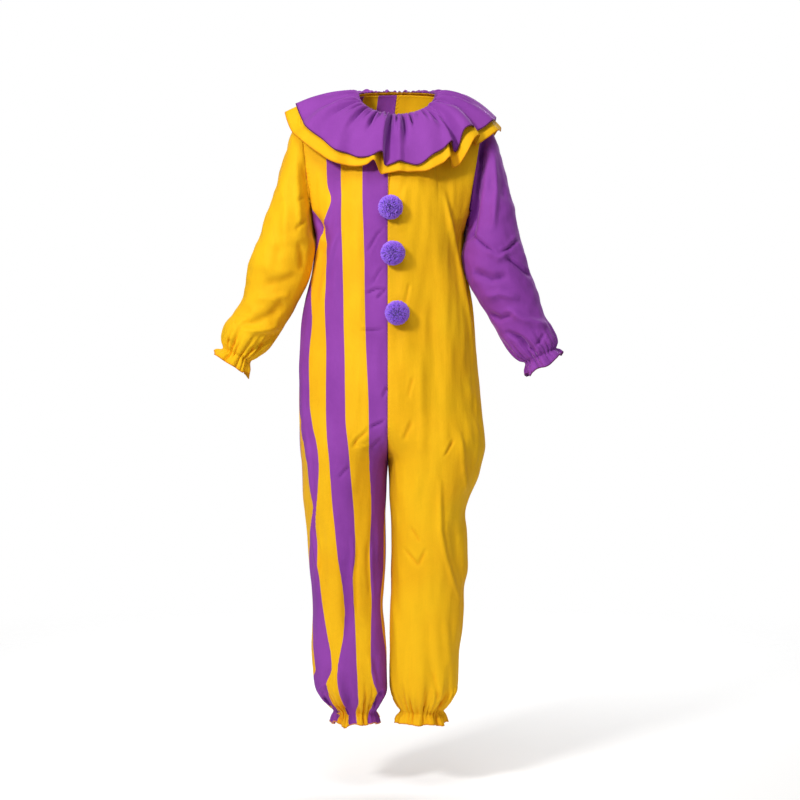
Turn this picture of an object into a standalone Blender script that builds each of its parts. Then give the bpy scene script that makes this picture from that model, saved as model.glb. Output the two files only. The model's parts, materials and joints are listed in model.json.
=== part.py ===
"""Clown jumpsuit, hollow, in the form it takes when it is worn.

Each cut piece is one closed wall of cloth: two fronts and two backs that run from shoulder to ankle, two
sleeves, two collar ruffles and three pompoms. The frame has +Z up, the front facing -Y and the wearer's
left at +X. The origin is in the middle of the neck opening, level with the tops of the shoulders, where
the suit hangs on its wearer.

The outer face of the whole suit is first laid out as one sewn surface, from the sections and cut edges
below. Its folds are pressed into it, and each piece is then cut out along its seams and given its wall.
"""

import math
from typing import NamedTuple

import bmesh
import bpy
from mathutils import Vector
from mathutils.bvhtree import BVHTree

WALL = 0.0016
SEAM_GAP = 0.0003
MOST_MITRE = 1.6  # how far a sharp fold in the wall may push its inner face, in walls
MERGE = 1e-5

# Body and legs
BODY_COLUMNS = 10
UPPER_ROWS = 8
ANKLE_RATIO = 3  # gathered rows have this many columns for each plain one
ROUNDNESS = 2.2  # exponent of the body's sections: 2 is an ellipse, more is boxier
SPLIT_TOP = -0.630  # below this the two halves start to part towards the legs
CROTCH = -0.741
NECK_COLUMNS = 5  # of a panel's columns, those that end at the neckline

# Neck opening
NECK_X, NECK_Y, NECK_Z = 0.0185, 0.005, 0.022
NECK_HALF_WIDTH, NECK_HALF_DEPTH = 0.078, 0.066
NECK_FRONT_DIP, NECK_BACK_RISE = 0.0526, 0.016
NECKLINE_DROP = 0.0052  # the body's neckline lies this far under the collar's
SHOULDER_SAG = 0.003

# Sleeves
SLEEVE_COLUMNS = 2 * UPPER_ROWS
CUFF_RATIO = 3

# Collar
NECK_GATHER = 0.0013
TIER_STEP = WALL + SEAM_GAP  # the lower ruffle lies this far under the upper one at the neck
TIER_SPREAD = 0.0045  # and this much further at the edge
SPREAD_GROWTH = 0.3
FLUTE_GROWTH = 1.25  # how the flutes grow from the neck to the edge, as a power

# Pompoms
POMPOM_RADIUS = 0.0240
POMPOM_CORE = 0.0165
LOCK_TIP = 0.72  # width of a lock's tip, as a share of the width at its root when spread outwards
LOCK_BACK_LIMIT = 0.45  # where the ball turns further than this towards the cloth, it has no locks
POMPOM_SINK = 0.9  # the core's middle is this share of its radius from its seat

YELLOW = (0.94, 0.62, 0.03, 1.0)
PURPLE = (0.28, 0.08, 0.42, 1.0)
STRIPED = (0.62, 0.34, 0.22, 1.0)
YARN = (0.20, 0.08, 0.50, 1.0)


class Level(NamedTuple):
    """One level of the body. Inner and outer are distances from the middle of the suit to the inseam and
    to the side seam, front and back are depths from the side seam, and gather is the height of the waves
    round an ankle."""

    z: float
    right_inner: float
    right_outer: float
    left_inner: float
    left_outer: float
    front: float
    back: float
    middle: float
    gather: float = 0.0


LEVELS = [
    Level(-0.274, 0, 0.150, 0, 0.151, 0.128, 0.112, 0.004),
    Level(-0.305, 0, 0.149, 0, 0.150, 0.131, 0.112, 0.008),
    Level(-0.335, 0, 0.154, 0, 0.155, 0.131, 0.113, 0.010),
    Level(-0.370, 0, 0.163, 0, 0.164, 0.129, 0.114, 0.008),
    Level(-0.406, 0, 0.171, 0, 0.173, 0.127, 0.116, 0.005),
    Level(-0.455, 0, 0.178, 0, 0.179, 0.125, 0.120, 0.004),
    Level(-0.505, 0, 0.181, 0, 0.182, 0.125, 0.126, 0.004),
    Level(-0.555, 0, 0.184, 0, 0.187, 0.127, 0.132, 0.004),
    Level(-0.605, 0, 0.185, 0, 0.192, 0.128, 0.137, 0.004),
    Level(-0.650, 0, 0.185, 0, 0.196, 0.128, 0.139, 0.004),
    Level(-0.685, 0, 0.184, 0, 0.200, 0.127, 0.138, 0.004),
    Level(-0.710, 0, 0.183, 0, 0.201, 0.125, 0.136, 0.004),
    Level(-0.728, 0, 0.181, 0, 0.198, 0.122, 0.132, 0.004),
    Level(-0.741, 0, 0.179, 0, 0.195, 0.119, 0.129, 0.004),
    Level(-0.775, 0.002, 0.177, 0.002, 0.187, 0.112, 0.121, 0.004),
    Level(-0.815, 0.004, 0.176, 0.003, 0.168, 0.104, 0.112, 0.005),
    Level(-0.845, 0.006, 0.172, 0.005, 0.160, 0.099, 0.107, 0.006),
    Level(-0.882, 0.006, 0.168, 0.007, 0.163, 0.094, 0.102, 0.006),
    Level(-0.925, 0.006, 0.165, 0.008, 0.1645, 0.088, 0.096, 0.006),
    Level(-0.965, 0.007, 0.162, 0.007, 0.165, 0.084, 0.091, 0.007),
    Level(-1.000, 0.009, 0.159, 0.007, 0.157, 0.081, 0.088, 0.008),
    Level(-1.045, 0.012, 0.157, 0.004, 0.155, 0.079, 0.086, 0.009),
    Level(-1.090, 0.007, 0.158, 0.003, 0.152, 0.078, 0.087, 0.011),
    Level(-1.130, 0.003, 0.1595, 0.003, 0.147, 0.078, 0.088, 0.012),
    Level(-1.170, 0.002, 0.157, 0.002, 0.146, 0.078, 0.087, 0.013),
    Level(-1.200, 0.003, 0.152, 0.004, 0.144, 0.075, 0.082, 0.014),
    Level(-1.220, 0.007, 0.143, 0.010, 0.137, 0.068, 0.073, 0.014, 0.0010),
    Level(-1.238, 0.017, 0.130, 0.019, 0.125, 0.057, 0.060, 0.014, 0.0030),
    Level(-1.250, 0.024, 0.116, 0.0255, 0.116, 0.046, 0.048, 0.014, 0.0028),
    Level(-1.258, 0.026, 0.111, 0.028, 0.1125, 0.0415, 0.0435, 0.014, 0.0012),
    Level(-1.267, 0.023, 0.114, 0.023, 0.117, 0.045, 0.047, 0.014, 0.0032),
    Level(-1.277, 0.019, 0.118, 0.019, 0.122, 0.050, 0.052, 0.014, 0.0045),
]


class SleeveSection(NamedTuple):
    """One section of a sleeve. Inner and outer are where its edges are seen from the front, as distances
    from the middle of the suit and heights, depth is half its size front to back, and middle is its y."""

    inner_x: float
    inner_z: float
    outer_x: float
    outer_z: float
    depth: float
    middle: float
    gather: float = 0.0


SLEEVES = {
    "right": [
        SleeveSection(0.150, -0.274, 0.182, -0.0145, 0.060, 0.004),
        SleeveSection(0.1520, -0.280, 0.202, -0.070, 0.063, 0.001),
        SleeveSection(0.1525, -0.290, 0.2225, -0.1325, 0.065, -0.005),
        SleeveSection(0.1525, -0.304, 0.2405, -0.199, 0.064, -0.014),
        SleeveSection(0.1555, -0.327, 0.261, -0.261, 0.062, -0.022),
        SleeveSection(0.168, -0.362, 0.2815, -0.325, 0.059, -0.025),
        SleeveSection(0.181, -0.3995, 0.2915, -0.362, 0.057, -0.027),
        SleeveSection(0.198, -0.437, 0.2985, -0.398, 0.056, -0.029),
        SleeveSection(0.2195, -0.472, 0.3145, -0.428, 0.056, -0.030),
        SleeveSection(0.239, -0.499, 0.3325, -0.455, 0.054, -0.031, 0.0010),
        SleeveSection(0.257, -0.5165, 0.3385, -0.478, 0.048, -0.032, 0.0028),
        SleeveSection(0.2737, -0.5275, 0.3380, -0.495, 0.040, -0.032, 0.0026),
        SleeveSection(0.2830, -0.534, 0.3365, -0.5075, 0.034, -0.033, 0.0012),
        SleeveSection(0.2835, -0.549, 0.347, -0.5115, 0.038, -0.034, 0.0028),
        SleeveSection(0.2845, -0.563, 0.357, -0.5175, 0.042, -0.035, 0.0045),
    ],
    "left": [
        SleeveSection(0.151, -0.274, 0.1987, -0.029, 0.060, 0.004),
        SleeveSection(0.1530, -0.282, 0.2215, -0.070, 0.063, 0.001),
        SleeveSection(0.1535, -0.292, 0.239, -0.128, 0.065, -0.005),
        SleeveSection(0.1535, -0.3065, 0.2540, -0.1946, 0.064, -0.014),
        SleeveSection(0.1565, -0.330, 0.2695, -0.261, 0.062, -0.022),
        SleeveSection(0.169, -0.364, 0.2845, -0.319, 0.059, -0.025),
        SleeveSection(0.184, -0.402, 0.2945, -0.358, 0.057, -0.027),
        SleeveSection(0.203, -0.439, 0.3090, -0.3995, 0.056, -0.029),
        SleeveSection(0.2226, -0.471, 0.3185, -0.4285, 0.056, -0.030),
        SleeveSection(0.240, -0.499, 0.3330, -0.4595, 0.054, -0.031, 0.0010),
        SleeveSection(0.258, -0.520, 0.3415, -0.4824, 0.048, -0.032, 0.0028),
        SleeveSection(0.2737, -0.5305, 0.3430, -0.496, 0.040, -0.032, 0.0026),
        SleeveSection(0.2837, -0.536, 0.3410, -0.5075, 0.034, -0.033, 0.0012),
        SleeveSection(0.2847, -0.551, 0.350, -0.512, 0.038, -0.034, 0.0028),
        SleeveSection(0.2865, -0.565, 0.3595, -0.5175, 0.042, -0.035, 0.0045),
    ],
}


class CollarRay(NamedTuple):
    """How the smooth collar leaves the neck at one angle, 0 at the front and growing towards the wearer's
    left. It heads for a point that is turn further out than the neck and rise above it, and bends down to
    its edge at this reach from the middle of the neck and this height."""

    angle: float
    turn: float
    rise: float
    reach: float
    z: float


COLLAR = [
    CollarRay(-180, 0.052, 0.002, 0.150, -0.066),
    CollarRay(-130, 0.060, 0.006, 0.172, -0.050),
    CollarRay(-90, 0.065, 0.006, 0.208, -0.002),
    CollarRay(-75, 0.065, 0.002, 0.200, -0.040),
    CollarRay(-60, 0.062, -0.004, 0.185, -0.078),
    CollarRay(-45, 0.060, -0.012, 0.169, -0.108),
    CollarRay(-25, 0.057, -0.022, 0.152, -0.128),
    CollarRay(0, 0.055, -0.028, 0.140, -0.137),
    CollarRay(20, 0.057, -0.026, 0.146, -0.136),
    CollarRay(33, 0.060, -0.022, 0.153, -0.119),
    CollarRay(50, 0.062, -0.012, 0.167, -0.095),
    CollarRay(65, 0.064, -0.002, 0.179, -0.068),
    CollarRay(80, 0.066, 0.006, 0.203, -0.042),
    CollarRay(95, 0.068, 0.008, 0.205, -0.030),
    CollarRay(130, 0.060, 0.006, 0.172, -0.055),
]


class Flute(NamedTuple):
    """A crest or a hollow of the collar's waves: its angle round the neck, 0 at the front and growing
    towards the wearer's left, and its height at the edge of the ruffle."""

    angle: float
    height: float


FLUTES = [
    Flute(-180, -0.008),
    Flute(-167, 0.011),
    Flute(-152, -0.009),
    Flute(-137, 0.012),
    Flute(-121, -0.009),
    Flute(-107, 0.011),
    Flute(-95, -0.006),
    Flute(-83, 0.009),
    Flute(-72, -0.006),
    Flute(-59, 0.009),
    Flute(-48, -0.004),
    Flute(-38, 0.006),
    Flute(-30, -0.004),
    Flute(-16, 0.014),
    Flute(-8, -0.010),
    Flute(4, 0.008),
    Flute(16, 0.000),
    Flute(27, 0.002),
    Flute(40, 0.016),
    Flute(50, -0.014),
    Flute(60, 0.017),
    Flute(67, -0.008),
    Flute(77, 0.011),
    Flute(90, -0.006),
    Flute(104, 0.010),
    Flute(118, -0.009),
    Flute(132, 0.012),
    Flute(146, -0.009),
    Flute(158, 0.011),
    Flute(170, 0.004),
]
FLUTE_STEPS = 2  # columns from a crest to the next hollow


class Tier(NamedTuple):
    """A collar ruffle: how far along the collar's length its rows lie, its place in the stack and which of
    the rows are gathered."""

    rows: tuple
    gathered: int
    depth: int


TIERS = {
    "collar_top": Tier((0.0, 0.06, 0.18, 0.40, 0.62, 0.82, 1.0), 3, 0),
    "collar_under": Tier((0.0, 0.08, 0.34, 0.62, 0.88, 1.13), 0, 1),
}


class Fold(NamedTuple):
    """A large fold, seen from the front or the back, from one end to the other: raised if its height is
    above zero. Width is where it has sunk to a third."""

    piece: str
    start_x: float
    start_z: float
    end_x: float
    end_z: float
    width: float
    height: float


FOLDS = [
    Fold("front_left", 0.118, -0.190, 0.166, -0.400, 0.020, 0.007),
    Fold("front_left", 0.138, -0.200, 0.150, -0.330, 0.016, -0.005),
    Fold("front_left", 0.040, -0.330, 0.046, -0.640, 0.022, 0.005),
    Fold("front_left", 0.092, -0.420, 0.100, -0.690, 0.024, -0.006),
    Fold("front_left", 0.150, -0.640, 0.160, -0.760, 0.024, 0.005),
    Fold("front_left", 0.110, -0.850, 0.152, -1.000, 0.018, 0.006),
    Fold("front_left", 0.038, -0.870, 0.068, -0.912, 0.016, -0.004),
    Fold("front_left", 0.090, -1.020, 0.080, -1.180, 0.018, 0.004),
    Fold("front_right", -0.120, -0.210, -0.150, -0.330, 0.018, 0.006),
    Fold("front_right", -0.085, -0.195, -0.100, -0.300, 0.018, 0.005),
    Fold("front_right", -0.112, -0.420, -0.118, -0.640, 0.022, 0.005),
    Fold("front_right", -0.150, -0.760, -0.158, -0.870, 0.018, 0.006),
    Fold("front_right", -0.066, -0.870, -0.076, -1.060, 0.018, 0.006),
    Fold("front_right", -0.092, -0.900, -0.098, -1.060, 0.018, -0.005),
    Fold("front_right", -0.052, -1.075, -0.048, -1.190, 0.018, 0.006),
    Fold("front_right", -0.110, -1.105, -0.120, -1.205, 0.018, 0.005),
    Fold("front_right", -0.044, -1.190, -0.047, -1.246, 0.014, 0.005),
    Fold("front_right", -0.030, -0.700, -0.090, -0.770, 0.018, -0.004),
    Fold("back_left", 0.080, -0.300, 0.095, -0.620, 0.026, 0.006),
    Fold("back_left", 0.090, -0.690, 0.040, -0.780, 0.022, -0.006),
    Fold("back_left", 0.060, -0.960, 0.130, -1.000, 0.022, -0.005),
    Fold("back_right", -0.075, -0.280, -0.090, -0.600, 0.026, 0.006),
    Fold("back_right", -0.095, -0.690, -0.040, -0.785, 0.022, -0.006),
    Fold("back_right", -0.060, -0.940, -0.130, -0.985, 0.022, -0.005),
    Fold("back_right", -0.112, -1.180, -0.104, -1.246, 0.014, 0.005),
    Fold("sleeve_right", -0.290, -0.400, -0.200, -0.370, 0.016, -0.006),
    Fold("sleeve_right", -0.320, -0.470, -0.240, -0.430, 0.016, -0.006),
    Fold("sleeve_right", -0.215, -0.130, -0.190, -0.250, 0.018, 0.004),
    Fold("sleeve_left", 0.205, -0.270, 0.226, -0.305, 0.015, -0.006),
    Fold("sleeve_left", 0.226, -0.305, 0.278, -0.268, 0.015, -0.006),
    Fold("sleeve_left", 0.200, -0.385, 0.300, -0.400, 0.018, -0.005),
    Fold("sleeve_left", 0.235, -0.455, 0.325, -0.450, 0.016, -0.005),
]


class Pompom(NamedTuple):
    """Where a pompom is sewn on the front."""

    name: str
    x: float
    z: float


POMPOMS = [
    Pompom("pompom_top", 0.0079, -0.2300),
    Pompom("pompom_middle", 0.0114, -0.3185),
    Pompom("pompom_bottom", 0.0197, -0.4385),
]

SIGNS = {"right": -1, "left": 1}
FRONT, BACK = "front", "back"
DEPTH_SIGNS = {FRONT: -1, BACK: 1}


def mixed(start, end, share):
    """The value or point that lies at a share of the way from start to end."""
    return start + (end - start) * share


def spaced(line, count):
    """count + 1 points at equal distances along a line of points."""
    ends = [0.0]
    for here, there in zip(line, line[1:]):
        ends.append(ends[-1] + (there - here).length)
    points, segment = [], 0
    for step in range(count + 1):
        wanted = ends[-1] * step / count
        while segment < len(line) - 2 and ends[segment + 1] < wanted:
            segment += 1
        share = (wanted - ends[segment]) / (ends[segment + 1] - ends[segment])
        points.append(mixed(line[segment], line[segment + 1], share))
    return points


def rounded(value):
    """A sine or cosine, drawn towards the superellipse that the body's sections follow."""
    return math.copysign(abs(value) ** (2 / ROUNDNESS), value)


def level_edges(level, side):
    """Where the section's curve starts and ends across, and the angle at which the middle seam cuts it."""
    outer = level.right_outer if side == "right" else level.left_outer
    if level.z <= CROTCH:
        inner = level.right_inner if side == "right" else level.left_inner
        return inner, outer, math.pi
    split = max(0.0, (SPLIT_TOP - level.z) / (SPLIT_TOP - CROTCH))
    cut = math.pi / 2 + math.asin(split ** (ROUNDNESS / 2))
    return outer * (split - 1) / (split + 1), outer, cut


def body_row(level, side, face, columns):
    """Points from the middle seam or the inseam round to the side seam, at one level of the body."""
    inner, outer, cut = level_edges(level, side)
    centre, half = (outer + inner) / 2, (outer - inner) / 2
    depth = DEPTH_SIGNS[face] * (level.front if face == FRONT else level.back)
    steps = 60
    curve = []
    for step in range(steps + 1):
        angle = cut * (1 - step / steps)
        x = SIGNS[side] * (centre + half * rounded(math.cos(angle)))
        curve.append(Vector((x, level.middle + depth * rounded(math.sin(angle)), level.z)))
    row = spaced(curve, columns)
    hub = Vector((SIGNS[side] * centre, level.middle, level.z))
    waves = columns // 4
    for column, point in enumerate(row):
        wave = math.sin(2 * math.pi * waves * column / columns)
        point += (point - hub).normalized() * wave * level.gather
    return row


def sleeve_point(section, side, turn):
    """A point round a sleeve's section: turn runs from 0 at the underarm, over the front to 0.5 at the
    shoulder, and over the back to 1."""
    sign = SIGNS[side]
    inner = Vector((sign * section.inner_x, section.middle, section.inner_z))
    outer = Vector((sign * section.outer_x, section.middle, section.outer_z))
    angle = 2 * math.pi * turn
    forward = Vector((0, -section.depth * math.sin(angle), 0))
    return mixed(inner, outer, (1 - math.cos(angle)) / 2) + forward


def neck_point(angle):
    """A point of the neck opening, angle 0 at the front and growing towards the wearer's left."""
    x = NECK_X + NECK_HALF_WIDTH * math.sin(angle)
    y = NECK_Y - NECK_HALF_DEPTH * math.cos(angle)
    tilt = NECK_FRONT_DIP if math.cos(angle) > 0 else NECK_BACK_RISE
    return Vector((x, y, NECK_Z - tilt * math.cos(angle)))


def neckline_point(angle):
    """A point of the body's neckline, under both ruffles."""
    return neck_point(angle) - collar_normal(angle, 0) * NECKLINE_DROP


def bezier(points, share):
    """The point at a share along the Bezier curve of these points."""
    while len(points) > 1:
        points = [mixed(a, b, share) for a, b in zip(points, points[1:])]
    return points[0]


def middle_edge(face, share):
    """The middle seam above the underarm, from share 0 at that level to 1 at the neckline."""
    level = LEVELS[0]
    depth = DEPTH_SIGNS[face] * (level.front if face == FRONT else level.back)
    foot = Vector((0, level.middle + depth, level.z))
    top = neckline_point(0 if face == FRONT else math.pi)
    rise = top.z - foot.z
    lower = foot + Vector((0, 0, 0.36 * rise))
    upper = Vector((top.x / 2, mixed(top.y, foot.y, 0.62), foot.z + 0.80 * rise))
    return bezier([foot, lower, upper, top], share)


def top_edge(side, face, column):
    """The neckline and then the shoulder seam, from the middle seam out to the shoulder's tip."""
    sign = SIGNS[side]
    if column <= NECK_COLUMNS:
        quarter = math.pi / 2 * column / NECK_COLUMNS
        return neckline_point(sign * (quarter if face == FRONT else math.pi - quarter))
    share = (column - NECK_COLUMNS) / (BODY_COLUMNS - NECK_COLUMNS)
    neck = neckline_point(sign * math.pi / 2)
    tip = sleeve_point(SLEEVES[side][0], side, 0.5)
    return mixed(neck, tip, share) - Vector((0, 0, SHOULDER_SAG * math.sin(math.pi * share)))


def upper_rows(side, face):
    """Rows above the underarm, top first: a Coons patch between the panel's four cut edges."""
    foot = body_row(LEVELS[0], side, face, BODY_COLUMNS)
    top = [top_edge(side, face, column) for column in range(BODY_COLUMNS + 1)]
    rows = []
    for step in range(UPPER_ROWS, 0, -1):
        up = step / UPPER_ROWS
        turn = up / 2 if face == FRONT else 1 - up / 2
        middle, armhole = middle_edge(face, up), sleeve_point(SLEEVES[side][0], side, turn)
        row = []
        for column in range(BODY_COLUMNS + 1):
            out = column / BODY_COLUMNS
            along = mixed(foot[column], top[column], up) + mixed(middle, armhole, out)
            corners = mixed(mixed(foot[0], foot[-1], out), mixed(top[0], top[-1], out), up)
            row.append(along - corners)
        rows.append(row)
    return rows


def panel_rows(side, face):
    """All the rows of a front or back, from the neckline and shoulder down to the hem at the ankle."""
    rows = upper_rows(side, face)
    for level in LEVELS:
        columns = BODY_COLUMNS * (ANKLE_RATIO if level.gather else 1)
        rows.append(body_row(level, side, face, columns))
    return rows


def sleeve_rows(side):
    """The rings of a sleeve, from the armhole down to the hem of its frill."""
    rows = []
    for section in SLEEVES[side]:
        columns = SLEEVE_COLUMNS * (CUFF_RATIO if section.gather else 1)
        hub = mixed(sleeve_point(section, side, 0), sleeve_point(section, side, 0.5), 0.5)
        ring = []
        for column in range(columns):
            point = sleeve_point(section, side, column / columns)
            wave = math.sin(math.pi / 2 * column)
            ring.append(point + (point - hub).normalized() * wave * section.gather)
        rows.append(ring)
    return rows


def collar_ray(angle):
    """The smooth collar's turn, rise, reach and height at an angle in radians, on a smooth curve through
    the rows of its table."""
    place = (math.degrees(angle) + 180) % 360 - 180
    after = next((row for row, ray in enumerate(COLLAR) if ray.angle > place), len(COLLAR))
    rays = [COLLAR[(after + step) % len(COLLAR)] for step in (-2, -1, 0, 1)]
    angles = [ray.angle + 360 * ((after + step) // len(COLLAR)) for step, ray in zip((-2, -1, 0, 1), rays)]
    span = angles[2] - angles[1]
    share = (place - angles[1]) / span
    found = []
    for column in ("turn", "rise", "reach", "z"):
        a, b, c, d = (getattr(ray, column) for ray in rays)
        start, end = (c - a) / (angles[2] - angles[0]) * span, (d - b) / (angles[3] - angles[1]) * span
        bend = (b - c) * 2 + start + end
        found.append(((bend * share - (b - c) * 3 - start * 2 - end) * share + start) * share + b)
    return CollarRay(place, *found)


def collar_base(angle, share):
    """A point of the smooth collar, before its flutes: share is 0 at the neck and 1 at the upper edge."""
    ray = collar_ray(angle)
    outwards = Vector((math.sin(angle), -math.cos(angle), 0))
    neck = neck_point(angle)
    turn = neck + outwards * ray.turn + Vector((0, 0, ray.rise))
    hem = Vector((NECK_X, NECK_Y, ray.z)) + outwards * ray.reach
    return bezier([neck, turn, hem], share)


def collar_normal(angle, share):
    """The direction out of the smooth collar, away from the body."""
    step = 0.01
    across = collar_base(angle + step, share) - collar_base(angle - step, share)
    outwards = collar_base(angle, share + step) - collar_base(angle, share - step)
    return outwards.cross(across).normalized()


def collar_point(flute_height, gather, angle, share, depth):
    """A point of a ruffle: the smooth collar, moved along its normal by the flutes and the gathers."""
    growth = share**FLUTE_GROWTH
    step_down = depth * (TIER_STEP + TIER_SPREAD * share**SPREAD_GROWTH)
    return collar_base(angle, share) + collar_normal(angle, share) * (
        flute_height * growth + gather - step_down
    )


def flute_columns():
    """The angle and wave height of each of the collar's columns, all round."""
    columns = []
    following = FLUTES[1:] + [Flute(FLUTES[0].angle + 360, FLUTES[0].height)]
    for here, there in zip(FLUTES, following):
        for step in range(FLUTE_STEPS):
            share = step / FLUTE_STEPS
            height = mixed(here.height, there.height, (1 - math.cos(math.pi * share)) / 2)
            columns.append((math.radians(mixed(here.angle, there.angle, share)), height))
    return columns


def doubled(columns):
    """The same columns with one more halfway between each two."""
    following = columns[1:] + [(columns[0][0] + 2 * math.pi, columns[0][1])]
    found = []
    for here, there in zip(columns, following):
        found += [here, ((here[0] + there[0]) / 2, (here[1] + there[1]) / 2)]
    return found


def collar_rows(tier):
    """The rings of a ruffle, from the neck out to its hem."""
    plain = flute_columns()
    rows = []
    for place, share in enumerate(tier.rows):
        gathered = place < tier.gathered
        wave_height = NECK_GATHER * (place > 0 and gathered)
        ring = []
        for column, (angle, height) in enumerate(doubled(plain) if gathered else plain):
            gather = wave_height * math.sin(math.pi / 2 * column)
            ring.append(collar_point(height, gather, angle, share, tier.depth))
        rows.append(ring)
    return rows


class Cloth:
    """A sewn surface: faces of several pieces that share their points where they are sewn together."""

    def __init__(self):
        self.mesh = bmesh.new()
        self.piece = self.mesh.faces.layers.int.new("piece")
        self.names = []

    def lay(self, name, rows, flipped=False, closed=False):
        """Adds a piece from its rows of points. A row may have a whole number of times as many columns as
        the one beside it."""
        self.names.append(name)
        made = [[self.mesh.verts.new(point) for point in row] for row in rows]
        for first, second in zip(made, made[1:]):
            for corners in band(first, second, closed):
                face = self.mesh.faces.new(corners[::-1] if flipped else corners)
                face[self.piece] = len(self.names) - 1

    def sew(self):
        """Joins the pieces where their edges meet, and splits every face along its shorter diagonal."""
        bmesh.ops.remove_doubles(self.mesh, verts=self.mesh.verts, dist=MERGE)
        bmesh.ops.triangulate(self.mesh, faces=self.mesh.faces, quad_method="SHORT_EDGE")
        self.mesh.normal_update()

    def press(self, folds):
        """Raises and sinks the large folds in their pieces."""
        moves = {}
        for fold in folds:
            index = self.names.index(fold.piece)
            for vert in self.mesh.verts:
                if any(face[self.piece] == index for face in vert.link_faces):
                    moves[vert] = moves.get(vert, 0) + fold_height(fold, vert)
        for vert, height in moves.items():
            vert.co += vert.normal * height
        self.mesh.normal_update()

    def cut_out(self, name):
        """The closed wall of one piece, kept half a seam's gap inside its edges."""
        index = self.names.index(name)
        faces = [face for face in self.mesh.faces if face[self.piece] == index]
        shift = edge_shifts(faces)
        wall = bmesh.new()
        outer, inner = {}, {}
        for vert in {corner for face in faces for corner in face.verts}:
            place = vert.co + shift.get(vert, Vector())
            mitre = min(vert.calc_shell_factor(), MOST_MITRE)
            outer[vert] = wall.verts.new(place)
            inner[vert] = wall.verts.new(place - vert.normal * WALL * mitre)
        for face in faces:
            wall.faces.new([outer[vert] for vert in face.verts])
            wall.faces.new([inner[vert] for vert in reversed(face.verts)])
            for loop in face.loops:
                if is_border(loop.edge, faces[0][self.piece], self.piece):
                    start, end = loop.vert, loop.link_loop_next.vert
                    wall.faces.new([outer[end], outer[start], inner[start], inner[end]])
        return wall


def band(first, second, closed):
    """The faces between two rows of points, top row first, when either may be the finer one."""
    ends = 0 if closed else 1
    coarse, fine = sorted((first, second), key=len)
    columns = len(coarse) - ends
    ratio = (len(fine) - ends) // columns
    faces = []
    for column in range(columns):
        after = (column + 1) % len(coarse)
        left, right = coarse[column], coarse[after]
        run = [fine[(column * ratio + step) % len(fine)] for step in range(ratio + 1)]
        if ratio == 1:
            corners = [[left, run[0], run[1], right]]
        else:
            turn = ratio // 2
            corners = [[left, a, b] for a, b in zip(run[:turn], run[1 : turn + 1])]
            corners.append([left, run[turn], right])
            corners += [[right, a, b] for a, b in zip(run[turn:], run[turn + 1 :])]
        faces += corners if coarse is first else [face[::-1] for face in corners]
    return faces


def is_border(edge, index, layer):
    """Whether only one face of this piece uses the edge."""
    return sum(face[layer] == index for face in edge.link_faces) == 1


def inwards(face, loop):
    """The direction into a face from one of its edges."""
    return face.normal.cross(loop.link_loop_next.vert.co - loop.vert.co).normalized()


def edge_shifts(faces):
    """How far each point on a piece's border moves into the piece, to leave half of the seam's gap. It
    moves further where the two pieces fold sharply towards each other."""
    own = set(faces)
    shifts = {}
    for face in faces:
        for loop in face.loops:
            others = [other for other in loop.edge.link_loops if other.face not in own]
            if len(loop.edge.link_faces) - len(others) != 1:
                continue
            way = inwards(face, loop)
            apart = min(((way - inwards(other.face, other)).length / 2 for other in others), default=1)
            for vert in (loop.vert, loop.link_loop_next.vert):
                shifts.setdefault(vert, []).append((way, apart))
    found = {}
    for vert, ways in shifts.items():
        middle = sum((way for way, apart in ways), Vector()).normalized()
        lean = max(0.5, min(middle.dot(way) for way, apart in ways))
        apart = max(0.3, min(apart for way, apart in ways))
        found[vert] = middle * (SEAM_GAP / 2 / lean / apart)
    return found


def fold_height(fold, vert):
    """How much a fold lifts a point, which fades off to its sides, at its ends and round the suit."""
    start, end = Vector((fold.start_x, fold.start_z)), Vector((fold.end_x, fold.end_z))
    place = Vector((vert.co.x, vert.co.z))
    run = end - start
    along = (place - start).dot(run) / run.length_squared
    nearest = start + run * min(max(along, 0), 1)
    off = (place - nearest).length / fold.width
    facing = vert.normal.y if fold.piece.startswith("back") else -vert.normal.y
    return fold.height * math.exp(-off * off) * min(max(facing * 2, 0), 1)


def lay_out_suit():
    """The sewn surface of the fronts, backs and sleeves, with its folds."""
    suit = Cloth()
    for side in SIGNS:
        for face in (FRONT, BACK):
            flipped = (side == "right") != (face == BACK)
            suit.lay(f"{face}_{side}", panel_rows(side, face), flipped)
        suit.lay(f"sleeve_{side}", sleeve_rows(side), flipped=side == "right", closed=True)
    suit.sew()
    suit.press(FOLDS)
    return suit


def lay_out_collar():
    """The two ruffles, which lie one over the other and are sewn into the neckline."""
    collar = Cloth()
    for name, tier in TIERS.items():
        collar.lay(name, collar_rows(tier), closed=True)
    collar.sew()
    return collar


def pompom(place, cloth):
    """A ball of locks on a core, pressed flat where it is sewn to the cloth."""
    spot, normal, _, _ = cloth.ray_cast(Vector((place.x, -1, place.z)), Vector((0, 1, 0)))
    seat = POMPOM_CORE * POMPOM_SINK
    ball = bmesh.new()
    bmesh.ops.create_icosphere(ball, subdivisions=2, radius=POMPOM_CORE)
    for face in list(ball.faces):
        way = face.calc_center_median().normalized()
        if way.dot(normal) < -LOCK_BACK_LIMIT:
            continue
        lock = bmesh.ops.extrude_discrete_faces(ball, faces=[face])["faces"][0]
        reach = POMPOM_RADIUS / POMPOM_CORE
        for vert in lock.verts:
            vert.co = way * POMPOM_RADIUS + (vert.co * reach - way * POMPOM_RADIUS) * LOCK_TIP
    for vert in ball.verts:
        below = -seat - vert.co.dot(normal)
        vert.co += spot + normal * (seat + SEAM_GAP + max(below, 0))
    return ball


def material(name, colour, roughness):
    """A Principled material in one colour."""
    made = bpy.data.materials.new(name)
    made.use_nodes = True
    shader = made.node_tree.nodes["Principled BSDF"]
    shader.inputs["Base Color"].default_value = colour
    shader.inputs["Roughness"].default_value = roughness
    shader.inputs["Metallic"].default_value = 0.0
    return made


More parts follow.
